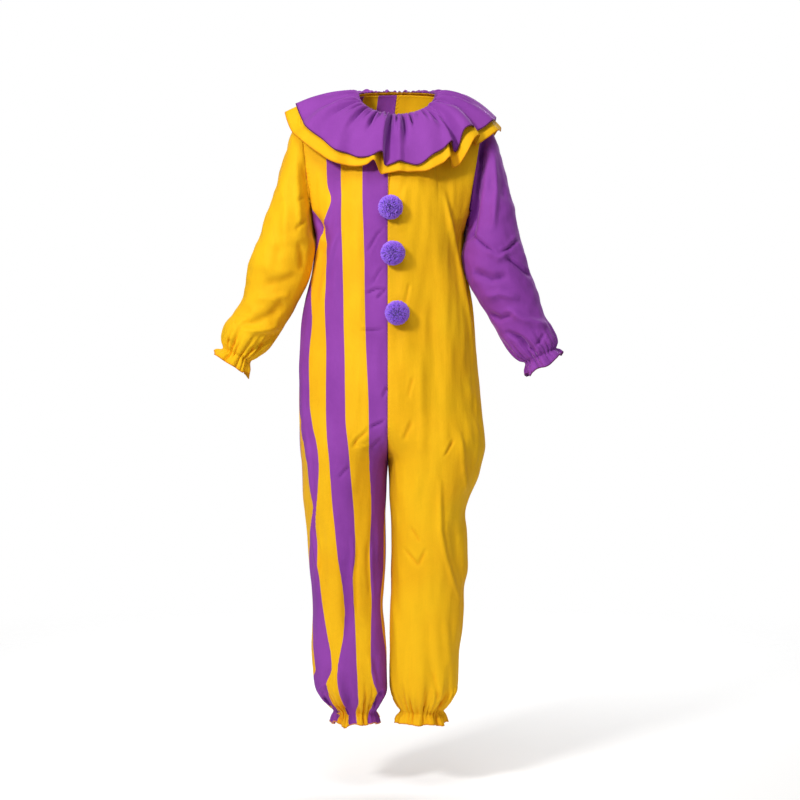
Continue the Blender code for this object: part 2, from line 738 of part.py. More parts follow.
def add_object(name, shape, finish):
    """Puts a shape into the scene as a named object, shaded smooth."""
    data = bpy.data.meshes.new(name)
    shape.to_mesh(data)
    shape.free()
    data.materials.append(finish)
    data.shade_smooth()
    data.set_sharp_from_angle(angle=math.radians(50))
    bpy.context.scene.collection.objects.link(bpy.data.objects.new(name, data))


def main():
    """Clears the scene and builds every piece of the suit."""
    for thing in list(bpy.data.objects):
        bpy.data.objects.remove(thing)
    yellow = material("yellow_cloth", YELLOW, 0.75)
    purple = material("purple_cloth", PURPLE, 0.75)
    striped = material("striped_cloth", STRIPED, 0.75)
    yarn = material("pompom_yarn", YARN, 0.9)
    finishes = {
        "front_right": striped,
        "back_right": striped,
        "front_left": yellow,
        "back_left": yellow,
        "sleeve_right": yellow,
        "sleeve_left": purple,
        "collar_top": purple,
        "collar_under": yellow,
    }
    suit, collar = lay_out_suit(), lay_out_collar()
    for cloth in (suit, collar):
        for name in cloth.names:
            add_object(name, cloth.cut_out(name), finishes[name])
    front = BVHTree.FromBMesh(suit.mesh)
    for place in POMPOMS:
        add_object(place.name, pompom(place, front), yarn)


main()
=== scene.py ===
"""Clown jumpsuit, dressed: striped and plain fronts and backs, sleeves, a two-tier ruffle and pompoms.

Lengths are in metres. +Z is up, the front faces -Y and the wearer's left is at +X. The suit's outer face is
laid out as grids of points from the same sections as its solids, sewn into one sheet, pressed into folds
and creases, cut apart along its seams and given the thickness of its cloth.
"""

import json
import logging
import math
from collections.abc import Iterator
from contextlib import contextmanager
from dataclasses import dataclass, field
from enum import Enum
from typing import Any, NamedTuple

import bpy
import numpy as np
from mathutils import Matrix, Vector, noise

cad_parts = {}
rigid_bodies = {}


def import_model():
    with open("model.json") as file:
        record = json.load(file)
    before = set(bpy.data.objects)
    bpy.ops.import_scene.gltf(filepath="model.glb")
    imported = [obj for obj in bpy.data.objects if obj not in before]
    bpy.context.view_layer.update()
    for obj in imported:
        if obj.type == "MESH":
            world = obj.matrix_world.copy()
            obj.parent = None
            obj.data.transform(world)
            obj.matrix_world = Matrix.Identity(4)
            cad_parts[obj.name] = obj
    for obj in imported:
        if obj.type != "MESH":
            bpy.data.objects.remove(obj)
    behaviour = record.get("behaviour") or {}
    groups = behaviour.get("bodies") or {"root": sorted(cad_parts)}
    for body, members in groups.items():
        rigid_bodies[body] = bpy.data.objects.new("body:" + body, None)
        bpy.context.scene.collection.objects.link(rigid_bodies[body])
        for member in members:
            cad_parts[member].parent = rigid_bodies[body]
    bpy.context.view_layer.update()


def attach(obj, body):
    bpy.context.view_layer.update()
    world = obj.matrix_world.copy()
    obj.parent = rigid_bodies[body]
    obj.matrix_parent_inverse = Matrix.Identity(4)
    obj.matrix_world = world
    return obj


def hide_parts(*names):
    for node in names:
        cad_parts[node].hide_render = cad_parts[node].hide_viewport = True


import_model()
LOG = logging.getLogger("jumpsuit")
Colour = tuple[float, float, float, float]

MERGE = 2e-5  # points closer than this are one
CAMERA = (0.0248, -3.6, -0.6127)
STRIPE = 0.041  # width of a stripe, flat
WAVES, WAVES_HEIGHT = 5, 2.2  # how many waves a ripple adds, and how high they stand together
PINCH = 2.2  # how narrow the hollows between gathers are
WHOLE, TENTHS = 1000, 10000  # millimetres and tenths of them to a metre, as the tables are written


class Way(Enum):
    """A direction, with the sign of its axis there."""

    @property
    def word(self) -> str:
        """The direction's name as the solids use it."""
        return self.name.lower()


class Side(Way):
    """The wearer's right or left, and the sign of x there."""

    RIGHT = -1
    LEFT = 1


class Face(Way):
    """The front or the back of the suit, and the sign of y there."""

    FRONT = -1
    BACK = 1


# Each level of the body, downwards: height, then for the wearer's right and left the distances of the
# inseam and of the side seam from the middle, then the front's and back's depths and the middle's y.
LEVELS = np.array([
    (-2740, 0, 1500, 0, 1580, 1280, 1120, 40), (-3050, 0, 1525, 0, 1570, 1310, 1120, 80),
    (-3350, 0, 1565, 0, 1590, 1310, 1130, 100), (-3700, 0, 1630, 0, 1670, 1290, 1140, 80),
    (-4060, 0, 1710, 0, 1730, 1270, 1160, 50), (-4550, 0, 1780, 0, 1790, 1250, 1200, 40),
    (-5050, 0, 1810, 0, 1820, 1250, 1260, 40), (-5550, 0, 1840, 0, 1870, 1270, 1320, 40),
    (-6050, 0, 1850, 0, 1920, 1280, 1370, 40), (-6500, 0, 1850, 0, 1960, 1280, 1390, 40),
    (-6850, 0, 1840, 0, 2000, 1270, 1380, 40), (-7100, 0, 1830, 0, 2010, 1250, 1360, 40),
    (-7280, 0, 1810, 0, 1980, 1220, 1320, 40), (-7410, 0, 1790, 0, 1950, 1190, 1290, 40),
    (-7750, 20, 1770, 20, 1870, 1120, 1210, 40), (-8150, 40, 1760, 30, 1680, 1040, 1120, 50),
    (-8450, 60, 1720, 50, 1600, 990, 1070, 60), (-8820, 60, 1680, 70, 1630, 940, 1020, 60),
    (-9250, 60, 1650, 80, 1645, 880, 960, 60), (-9650, 70, 1620, 70, 1650, 840, 910, 70),
    (-10000, 90, 1590, 70, 1570, 810, 880, 80), (-10450, 120, 1570, 40, 1550, 790, 860, 90),
    (-10900, 70, 1580, 30, 1520, 780, 870, 110), (-11300, 30, 1595, 30, 1470, 780, 880, 120),
    (-11700, 20, 1570, 20, 1460, 780, 870, 130), (-12000, 30, 1520, 40, 1440, 750, 820, 140),
    (-12200, 70, 1430, 100, 1370, 680, 730, 140), (-12380, 170, 1300, 190, 1250, 570, 600, 140),
    (-12500, 240, 1160, 255, 1160, 460, 480, 140), (-12580, 260, 1110, 280, 1125, 415, 435, 140),
    (-12670, 230, 1140, 230, 1170, 450, 470, 140), (-12770, 190, 1180, 190, 1220, 500, 520, 140),
]) / TENTHS

# Each section of a sleeve, downwards: the inner edge's distance from the middle and height, the outer
# edge's, half the depth and the middle's y.
SLEEVES = {
    Side.RIGHT: np.array([
        (1500, -2740, 1820, -145, 600, 40), (1485, -2800, 2020, -700, 630, -60),
        (1475, -2900, 2205, -1325, 650, -200), (1480, -3040, 2390, -1990, 640, -320),
        (1515, -3270, 2610, -2610, 620, -380), (1590, -3620, 2815, -3250, 590, -380),
        (1790, -3995, 2915, -3620, 570, -280), (1980, -4370, 2985, -3980, 560, -290),
        (2195, -4720, 3145, -4280, 560, -300), (2390, -4990, 3325, -4550, 540, -310),
        (2570, -5165, 3385, -4780, 480, -320), (2737, -5275, 3380, -4950, 400, -320),
        (2830, -5340, 3365, -5075, 340, -330), (2835, -5490, 3470, -5115, 380, -340),
        (2845, -5630, 3570, -5175, 420, -350),
    ]) / TENTHS,
    Side.LEFT: np.array([
        (1580, -2740, 1987, -290, 600, 40), (1580, -2820, 2215, -700, 630, 30),
        (1555, -2920, 2390, -1280, 650, -10), (1530, -3065, 2540, -1946, 640, -100),
        (1530, -3300, 2695, -2610, 620, -200), (1605, -3640, 2845, -3190, 590, -270),
        (1800, -4020, 2945, -3580, 570, -280), (2030, -4390, 3090, -3995, 560, -290),
        (2226, -4710, 3185, -4285, 560, -300), (2400, -4990, 3330, -4595, 540, -310),
        (2580, -5200, 3415, -4824, 480, -320), (2737, -5305, 3430, -4960, 400, -320),
        (2837, -5360, 3410, -5075, 340, -330), (2847, -5510, 3500, -5120, 380, -340),
        (2865, -5650, 3595, -5175, 420, -350),
    ]) / TENTHS,
}

# How the smooth collar leaves the neck at each angle, 0 at the front and growing towards the wearer's left:
# how far out and up it heads first, then its edge's reach from the middle of the neck and its height.
RAYS = np.array([
    (-180, 52, 2, 150, -66), (-130, 60, 6, 172, -50), (-90, 65, 6, 208, -2), (-75, 65, 2, 200, -40),
    (-60, 62, -4, 185, -78), (-45, 60, -12, 169, -108), (-25, 57, -22, 152, -128), (0, 55, -28, 140, -137),
    (20, 57, -26, 146, -136), (33, 60, -22, 153, -119), (50, 62, -12, 167, -95), (65, 64, -2, 179, -68),
    (80, 66, 6, 203, -42), (95, 68, 8, 205, -30), (130, 60, 6, 172, -55),
]) / [1, WHOLE, WHOLE, WHOLE, WHOLE]

# The gathers' hollows: where round the collar, the share of its length where each runs out, its width in
# degrees and its depth.
GATHERS = np.array([
    (-172, 0.5, 3, 7.5), (-159, 0.8, 3.4, 9), (-146, 0.5, 3, 7.5), (-132, 0.9, 3.4, 9), (-119, 0.5, 3, 7.5),
    (-106, 0.8, 3.4, 9), (-94, 0.5, 3, 7.5), (-85, 0.8, 3, 7.5), (-77, 0.8, 3.4, 7.5), (-63, 0.95, 3.2, 9),
    (-53, 0.5, 2, 6), (-43, 0.85, 2.6, 9), (-35, 0.45, 1.7, 6), (-27, 0.7, 2.5, 13.5), (-20, 0.38, 1.5, 6),
    (-13.5, 0.42, 1.5, 6), (-7, 1, 3.2, 13.5), (0.5, 0.35, 1.4, 6), (8, 0.85, 2.7, 15),
    (16.5, 0.48, 1.9, 9), (25, 0.35, 1.5, 6), (33, 0.45, 2, 9), (41, 1, 3.6, 15), (50, 0.45, 1.9, 6),
    (58, 0.6, 2.2, 7.5), (70, 0.9, 3.2, 9), (81, 0.9, 3.2, 9), (94, 0.5, 3, 7.5), (107, 0.8, 3.4, 9),
    (120, 0.5, 3, 7.5), (133, 0.9, 3.4, 9), (147, 0.5, 3, 7.5), (160, 0.8, 3.4, 9), (174, 0.5, 3, 7.5),
]) / [1, 1, 1, WHOLE]

# The crests and hollows of the collar's two tiers: where round the ruffle, how many degrees the cloth leans
# over from there, its height at the edge and how far the edge is drawn up towards the neck.
FLUTES = {
    "collar_top": np.array([
        (-180, 0, -8, -5), (-167, 0, 11, 6), (-152, 0, -9, -5), (-137, 0, 12, 7), (-121, 0, -9, -5),
        (-107, 0, 11, 6), (-97, 0, -4, -2), (-88, 0, 4, 0), (-78, 0, -8, 0), (-68, 0, 5, -4),
        (-58, 0, -6, 1), (-46, 0, 5, -5), (-38, 0, -6, 0), (-30, 0, -3, -2), (-21, 0, 3, 2),
        (-12.5, 1, 14, 9), (-9, -0.5, -9, -5), (-4, 0, -7, -3), (2, 0, 4, 0), (7, 0, -3, 0),
        (17, 0, -4, -4), (27, 0, 4, 1), (36, 0, 5, 2), (42.5, 0.5, 12, 6), (46, -0.5, -11, -5),
        (49, -0.5, -12, -6), (52, 0, 14, 12), (56, 1, 21, 12), (61, 1, 12, 8), (64, -1, -2, 3),
        (70, 0, 1, 0), (78, 0, 6, 2), (86, 0, -3, 0), (96, 0, 6, 3), (107, 0, -9, -5), (118, 0, 9, 5),
        (132, 0, -9, -5), (146, 0, 11, 6), (160, 0, -8, -5), (171, 0, 9, 5),
    ]) / [1, 1, WHOLE, WHOLE],
    "collar_under": np.array([
        (-180, 0, -8, -5), (-167, 0, 10, 6), (-152, 0, -9, -5), (-137, 0, 11, 7), (-121, 0, -9, -5),
        (-107, 0, 10, 6), (-97, 0, -4, -8), (-88, 0, 4, -7), (-78, 0, -7, -9), (-68, 0, 4, -7),
        (-58, 0, -5, -3), (-46, 0, 4, -4), (-38, 0, -5, 0), (-30, 0, -2, 2), (-23, 0, 4, 6),
        (-17.5, 0, 10, 12), (-12.5, 0, -9, -1), (-8.5, 0, -10, 0), (-4, 0, -6, 1), (2, 0, 2, 2),
        (8, 0, -3, 3), (17, 0, -4, 4), (27, 0, 3, -1), (36, 0, 4, -2), (40.5, 0.5, 9, 1),
        (43.5, 0, -10, -10), (49, -0.5, -13, -12), (52.5, 0, 6, -4), (56, 2, 15, 6), (61, 3, 12, 6),
        (64, -2, -2, -2), (70, 0, -1, 0), (78, 0, 4, 2), (86, 0, -3, 0), (96, 0, 5, 3), (107, 0, -9, -5),
        (118, 0, 8, 5), (132, 0, -9, -5), (146, 0, 10, 6), (160, 0, -8, -5), (171, 0, 8, 5),
    ]) / [1, 1, WHOLE, WHOLE],
}

# Where the stripes' edges lie on the wearer's right front, seen from the front: height, then the x of the
# first stripe's edge nearest the middle and of the five edges after it.
STRIPES = np.array([
    (-500, 0, -530, -1000, -1300, -2000, -2300), (-1260, 0, -530, -980, -1270, -1950, -2250),
    (-1670, 0, -528, -970, -1255, -1850, -2200), (-1990, 0, -526, -955, -1180, -1690, -2100),
    (-2270, 0, -518, -962, -1262, -1510, -2050), (-2560, 0, -508, -966, -1342, -1366, -2000),
    (-2880, 0, -500, -960, -1300, -1430, -1950), (-3240, 0, -490, -950, -1250, -1510, -1900),
    (-3590, 0, -486, -940, -1262, -1570, -1900), (-4060, 0, -480, -930, -1300, -1580, -1920),
    (-4520, 0, -472, -920, -1290, -1570, -1940), (-5090, 0, -450, -900, -1275, -1620, -1950),
    (-6130, 0, -400, -882, -1280, -1617, -1840), (-6580, 0, -395, -874, -1277, -1571, -1810),
    (-7030, 0, -391, -830, -1261, -1495, -1745), (-7470, 0, -379, -795, -1221, -1439, -1690),
    (-7920, 0, -356, -756, -1186, -1459, -1625), (-8370, -80, -346, -714, -1145, -1500, -1550),
    (-8600, -90, -356, -702, -1116, -1518, -1566), (-8820, -98, -368, -690, -1090, -1526, -1585),
    (-9040, -102, -375, -677, -1072, -1492, -1660), (-9450, -110, -379, -687, -1029, -1451, -1660),
    (-9720, -120, -365, -725, -983, -1437, -1590), (-10080, -155, -335, -722, -929, -1397, -1570),
    (-10390, -172, -332, -706, -898, -1348, -1620), (-10610, -165, -342, -690, -892, -1310, -1600),
    (-11060, -105, -362, -669, -929, -1236, -1525), (-11290, -70, -366, -660, -975, -1199, -1495),
    (-11600, -40, -364, -648, -1037, -1166, -1455), (-11760, -10, -360, -638, -1050, -1185, -1440),
    (-11960, 0, -318, -629, -1054, -1262, -1490), (-12230, 0, -225, -621, -1012, -1230, -1560),
    (-12410, 0, -290, -615, -956, -1150, -1400), (-12590, 0, -400, -668, -853, -1035, -1300),
    (-12860, 0, -426, -652, -787, -1085, -1350),
]) / TENTHS

# The creases on each piece's front or back: width and height in tenths of a millimetre, lean, then for each
# point of the line its x and how far it lies below the shoulders, in millimetres.
CREASES = {
    ("front_left", Face.FRONT): [
        (65, 110, 0.5, 118, 178, 137, 265, 151, 330, 174, 445, 187, 545),
        (150, -150, 0, 150, 240, 166, 330, 186, 430, 197, 520), (150, -52, 0.2, 93, 339, 99, 489, 99, 696),
        (160, 40, 0, 33, 265, 41, 406, 33, 571), (120, 38, 0.3, 70, 509, 75, 654, 64, 820),
        (90, 41, 0.3, 170, 582, 188, 621, 203, 696), (60, 49, 0.55, 151, 675, 157, 710, 161, 758, 168, 807),
        (100, -50, 0, 170, 696, 178, 758, 186, 830),
        (60, 57, 0.55, 110, 774, 112, 884, 122, 934, 141, 996, 155, 1033),
        (130, -75, 0, 132, 861, 145, 944, 161, 1006), (40, -40, 0.4, 48, 874, 68, 907),
        (40, -46, 0.4, 33, 917, 62, 952, 79, 917), (35, -46, 0.5, 116, 729, 126, 710, 135, 693),
        (50, -40, 0.5, 29, 698, 48, 654), (40, -36, 0.4, 46, 371, 37, 418),
        (40, -33, 0.4, 54, 565, 43, 609), (130, -48, 0.3, 83, 1027, 87, 1130, 99, 1213),
        (80, 40, 0.4, 124, 1068, 132, 1167), (60, -43, 0.4, 95, 1172, 103, 1213, 110, 1246),
        (50, 62, 0.5, 120, 1240, 132, 1221, 143, 1203), (90, 38, 0, 12, 1027, 21, 1151, 29, 1213),
        (70, -19, 0.3, 41, 149, 21, 211, 12, 265),
    ],
    ("front_right", Face.FRONT): [
        (35, -46, 0.5, -6, 257, -21, 272, -32, 292, -41, 308), (35, -40, 0.5, -6, 336, -18, 350, -31, 374),
        (35, -50, 0.5, -46, 391, -25, 381, -2, 383), (35, -50, 0.5, -25, 402, -6, 383),
        (35, -38, 0.5, -58, 468, -27, 466, -6, 462), (40, -50, 0.4, -14, 609, -2, 584),
        (70, 53, 0.4, -99, 257, -114, 302, -124, 348, -137, 406),
        (70, -88, 0, -155, 224, -135, 257, -130, 282, -145, 327),
        (70, 46, 0.3, -118, 190, -124, 228, -132, 257), (40, -48, 0.6, -77, 712, -66, 693, -41, 671),
        (35, 36, 0.6, -72, 714, -46, 706, -25, 698), (40, -54, 0.5, -39, 669, -6, 652),
        (50, -40, 0.4, -39, 710, -10, 689), (40, -42, 0.6, -106, 774, -93, 760, -81, 747),
        (60, 60, 0.6, -72, 892, -68, 929, -72, 969, -70, 1068),
        (100, -65, 0, -89, 944, -87, 1027, -81, 1110), (60, -42, 0.5, -37, 903, -39, 944, -33, 1027),
        (50, 62, 0.5, -168, 671, -159, 758, -151, 836),
        (50, 70, 0.6, -151, 832, -155, 882, -145, 954, -149, 1002),
        (90, -53, 0, -139, 861, -135, 944, -132, 1027), (45, -109, 0.4, -8, 1213, -21, 1234, -35, 1252),
        (45, -82, 0.4, -132, 1225, -122, 1242, -112, 1259),
        (50, 57, 0.4, -143, 1213, -135, 1201, -124, 1192),
        (80, -46, 0.2, -116, 1110, -112, 1159, -124, 1201), (70, 53, 0.4, -37, 1141, -29, 1182, -21, 1213),
        (70, 39, 0.4, -182, 520, -174, 571, -176, 654), (130, 39, 0, -149, 509, -141, 613, -137, 716),
        (140, 29, 0, -66, 199, -66, 323, -62, 468),
    ],
    ("sleeve_right", Face.FRONT): [
        (130, -105, 0.2, -211, 414, -234, 435, -259, 449, -286, 460, -319, 453),
        (80, 83, 0.3, -224, 462, -248, 470, -273, 472, -306, 466),
        (90, -59, 0.2, -323, 443, -306, 433, -286, 422),
        (60, -80, 0.3, -221, 470, -244, 491, -273, 509, -298, 520),
        (90, -80, 0.2, -182, 282, -174, 315, -174, 348), (100, -50, 0.3, -261, 368, -224, 364, -182, 348),
        (90, 59, 0.3, -273, 397, -240, 402, -203, 389), (40, -40, 0.4, -190, 199, -182, 195, -172, 188),
        (50, -48, 0.4, -193, 259, -182, 248, -170, 238), (80, 51, 0.3, -188, 95, -184, 178, -178, 261),
        (120, 43, 0.2, -209, 137, -213, 219, -219, 294), (40, -44, 0.3, -331, 484, -323, 501),
        (60, -60, 0, -175, 120, -170, 153, -162, 213, -155, 268),
        (100, -58, 0.3, -217, 195, -222, 270, -226, 340),
    ],
    ("sleeve_left", Face.FRONT): [
        (42, -75, 0.5, 170, 263, 199, 288, 228, 310), (42, -75, 0.5, 226, 310, 250, 296, 273, 273),
        (50, -78, 0.5, 244, 313, 273, 335, 298, 356), (80, 76, 0, 205, 300, 228, 318, 250, 306),
        (100, -119, 0.2, 178, 344, 215, 360, 248, 352), (90, 98, 0.3, 199, 397, 232, 389, 273, 400),
        (70, -102, 0.3, 207, 431, 232, 441, 261, 431), (90, 109, 0.3, 242, 422, 282, 443, 331, 457),
        (60, -109, 0.3, 244, 468, 277, 484, 306, 513),
        (85, -290, 0, 203, 60, 194, 116, 184, 178, 175, 230, 168, 285),
        (70, 78, 0.3, 221, 95, 226, 178, 219, 265), (60, -41, 0.3, 238, 137, 244, 199),
        (40, -44, 0.3, 325, 474, 317, 491, 306, 503),
    ],
    ("back_left", Face.BACK): [
        (260, 75, 0.2, 80, 300, 95, 620), (200, -75, 0.2, 90, 690, 40, 780),
        (100, -31, 0.5, 50, 450, 110, 500, 160, 490), (160, -63, 0.3, 60, 960, 130, 1000),
        (90, 34, 0.5, 40, 930, 110, 955), (160, 50, 0.3, 110, 740, 122, 900),
        (160, 37, 0.2, 35, 160, 60, 300),
    ],
    ("back_right", Face.BACK): [
        (260, 75, 0.2, -75, 280, -90, 600), (200, -75, 0.2, -95, 690, -40, 785),
        (160, -63, 0.3, -60, 940, -130, 985), (90, 34, 0.5, -40, 905, -115, 930),
        (100, -31, 0.5, -120, 420, -60, 470, -20, 460), (160, 50, 0.3, -120, 720, -126, 890),
        (160, 37, 0.2, -40, 170, -70, 330),
    ],
    ("sleeve_right", Face.BACK): [
        (120, -63, 0.3, -200, 300, -250, 330, -285, 320), (100, 37, 0.4, -215, 380, -280, 395),
        (90, -54, 0.3, -240, 440, -300, 430),
    ],
    ("sleeve_left", Face.BACK): [
        (120, -63, 0.3, 200, 300, 250, 335, 285, 325), (100, 37, 0.4, 215, 385, 285, 390),
        (90, -54, 0.3, 245, 440, 305, 435),
    ],
}


class Crease(NamedTuple):
    """A fold along a line, seen from the front or the back as if on the plane y = 0: raised if its height
    is above zero. Width is where it has sunk to a third, and lean moves it towards a ridge with a furrow
    beside it."""

    node: str
    face: Face
    line: np.ndarray
    width: float
    height: float
    lean: float


def creases() -> list[Crease]:
    """Reads the table of creases.

    Returns:
        All creases, their sizes in metres.
    """
    return [
        Crease(node, face, np.reshape(line, (-1, 2)) / [WHOLE, -WHOLE], width / TENTHS, height / TENTHS, lean)
        for (node, face), rows in CREASES.items()
        for width, height, lean, *line in rows
    ]


def through(table: np.ndarray, wanted: np.ndarray, period: float = 0.0) -> np.ndarray:
    """Reads smooth curves drawn through a table's rows.

    Args:
        table: rows of a place, growing downwards, and the values there.
        wanted: the places to read, in an array of any shape.
        period: after how much the table repeats, or 0.

    Returns:
        The values at each place, along a last axis.
    """
    if period:
        before, after = table[-2:].copy(), table[:2].copy()
        before[:, 0] -= period
        after[:, 0] += period
        table = np.concatenate([before, table, after])
    places, values = table[:, 0], table[:, 1:]
    slopes = np.empty_like(values)
    slopes[1:-1] = (values[2:] - values[:-2]) / (places[2:] - places[:-2])[:, None]
    slopes[0] = (values[1] - values[0]) / (places[1] - places[0])
    slopes[-1] = (values[-1] - values[-2]) / (places[-1] - places[-2])
    row = np.clip(np.searchsorted(places, wanted, side="right") - 1, 0, len(places) - 2)
    span = (places[row + 1] - places[row])[..., None]
    share = (np.asarray(wanted) - places[row])[..., None] / span
    a, b, s, e = values[row], values[row + 1], slopes[row] * span, slopes[row + 1] * span
    bend = (a - b) * 2 + s + e
    return ((bend * share - (a - b) * 3 - s * 2 - e) * share + s) * share + a


def unit(values: Any) -> np.ndarray:
    """The values, held between 0 and 1."""
    return np.clip(values, 0, 1)


def smooth(share: np.ndarray) -> np.ndarray:
    """Shares from 0 to 1, with a soft start and end."""
    return share * share * (3 - 2 * share)


def bezier(points: list[np.ndarray], share: np.ndarray) -> np.ndarray:
    """The points at the given shares along the Bezier curves of these control points.

    Args:
        points: the control points.
        share: shares of the way from the first point to the last.

    Returns:
        The points there.
    """
    while len(points) > 1:
        points = [a + (b - a) * share for a, b in zip(points, points[1:])]
    return points[0]


def stack(x: Any, y: Any, z: Any) -> np.ndarray:
    """Points from their three coordinates, each an array or one number."""
    return np.stack(np.broadcast_arrays(x, y, z), axis=-1).astype(float)


def lengths(points: np.ndarray, axis: int) -> np.ndarray:
    """Distances run along one axis of a grid of points, from its first row or column.

    Args:
        points: the grid.
        axis: 0 to run down its columns, 1 to run along its rows.

    Returns:
        The distance of each point.
    """
    steps = np.linalg.norm(np.diff(points, axis=axis), axis=-1)
    start = np.zeros_like(np.take(steps, [0], axis=axis))
    return np.concatenate([start, np.cumsum(steps, axis=axis)], axis=axis)


def seen(points: np.ndarray) -> np.ndarray:
    """Where points are seen from the front on the plane y = 0, as x and z.

    Args:
        points: the points in space.

    Returns:
        Their x and z, along a last axis.
    """
    scale = -CAMERA[1] / (points[..., 1] - CAMERA[1])
    x = CAMERA[0] + (points[..., 0] - CAMERA[0]) * scale
    z = CAMERA[2] + (points[..., 2] - CAMERA[2]) * scale
    return np.stack([x, z], axis=-1)


def ripple(turn: np.ndarray, counts: tuple[int, int], seed: int) -> np.ndarray:
    """An uneven wave round a ring, between about -1 and 1.

    Args:
        turn: places round the ring, 1 for a whole turn.
        counts: the fewest and the most waves to a turn.
        seed: picks the wave's phases.

    Returns:
        The wave's height at each place.
    """
    chance = np.random.default_rng(seed)
    total = np.zeros_like(turn)
    picked = np.linspace(*counts, WAVES).round().astype(int)
    for count in picked:
        total += np.sin(2 * np.pi * (count * turn + chance.random()))
    return total / WAVES_HEIGHT


def pinch(wave: np.ndarray) -> np.ndarray:
    """A wave with its hollows drawn narrow, as gathers have them."""
    return 1 - 2 * np.clip((1 - wave) / 2, 0, 1.2) ** PINCH


def gathers(turn: np.ndarray, heights: np.ndarray, frill: np.ndarray, counts: tuple, seed: int) -> np.ndarray:
    """How far gathered cloth stands out. Its broad gathers are pinched above the elastic and round below it.

    Args:
        turn: places round the ring, 1 for a whole turn.
        heights: of the fine and of the broad gathers, along a last axis.
        frill: 0 above the elastic and 1 in the frill.
        counts: the fewest and the most gathers to a turn, of the fine and of the broad ones.
        seed: picks the gathers' places.

    Returns:
        The distance at each place.
    """
    fine, broad = np.moveaxis(heights, -1, 0)
    wave = ripple(turn, counts[1], seed + 10)
    return fine * pinch(ripple(turn, counts[0], seed)) + broad * (pinch(wave) * (1 - frill) + wave * frill)


@dataclass
class Sheet:
    """A piece of cloth laid out as a grid of points, its outer face up.

    Attributes:
        node: the solid that it stands for.
        points: rows of points, from the top down.
        grain: for each point, the distances across and along the cloth.
        edges: for each point, the distances to the nearest seam and to the hem.
        turned: whether its rows run the other way round.
    """

    node: str
    points: np.ndarray
    grain: np.ndarray
    edges: np.ndarray
    turned: bool = False


@dataclass
class Neckline:
    """The suit's neck opening and the smooth collar that leaves it.

    Attributes:
        x, y, z: the opening's middle.
        half_width, half_depth: half of its size.
        front_dip, back_rise: how far its front and back lie under its middle.
        drop: how far the body's neckline lies under the collar's.
    """

    x: float = 0.0185
    y: float = 0.005
    z: float = 0.022
    half_width: float = 0.078
    half_depth: float = 0.066
    front_dip: float = 0.0526
    back_rise: float = 0.016
    drop: float = 0.0070

    def point(self, angle: np.ndarray) -> np.ndarray:
        """The points of the opening at these angles, 0 at the front.

        Args:
            angle: angles round the neck.

        Returns:
            The points, along a last axis.
        """
        tilt = np.where(np.cos(angle) > 0, self.front_dip, self.back_rise)
        x, y = self.x + self.half_width * np.sin(angle), self.y - self.half_depth * np.cos(angle)
        return stack(x, y, self.z - tilt * np.cos(angle))

    def base(self, angle: np.ndarray, share: np.ndarray) -> np.ndarray:
        """The smooth collar's points: share is 0 at the neck and 1 at the upper ruffle's edge.

        Args:
            angle: angles round the neck.
            share: shares of the way out.

        Returns:
            The points, along a last axis.
        """
        place = (np.degrees(angle) + 180) % 360 - 180
        ray = through(RAYS, place, 360.0)
        outwards = stack(np.sin(angle), -np.cos(angle), 0.0)
        neck = self.point(angle)
        turn = neck + outwards * ray[..., 0:1] + stack(0, 0, ray[..., 1])
        hem = stack(self.x, self.y, ray[..., 3]) + outwards * ray[..., 2:3]
        return bezier([neck, turn, hem], np.asarray(share)[..., None])

    def normal(self, angle: np.ndarray, share: np.ndarray) -> np.ndarray:
        """The directions out of the smooth collar, away from the body.

        Args:
            angle: angles round the neck.
            share: shares of the way out.

        Returns:
            The directions, each 1 long.
        """
        step = 0.01
        across = self.base(angle + step, share) - self.base(angle - step, share)
        outwards = self.base(angle, share + step) - self.base(angle, share - step)
        found = np.cross(outwards, across)
        return found / np.linalg.norm(found, axis=-1, keepdims=True)

    def seam(self, angle: np.ndarray) -> np.ndarray:
        """The points of the body's neckline, under both ruffles."""
        return self.point(angle) - self.normal(angle, np.zeros_like(angle)) * self.drop


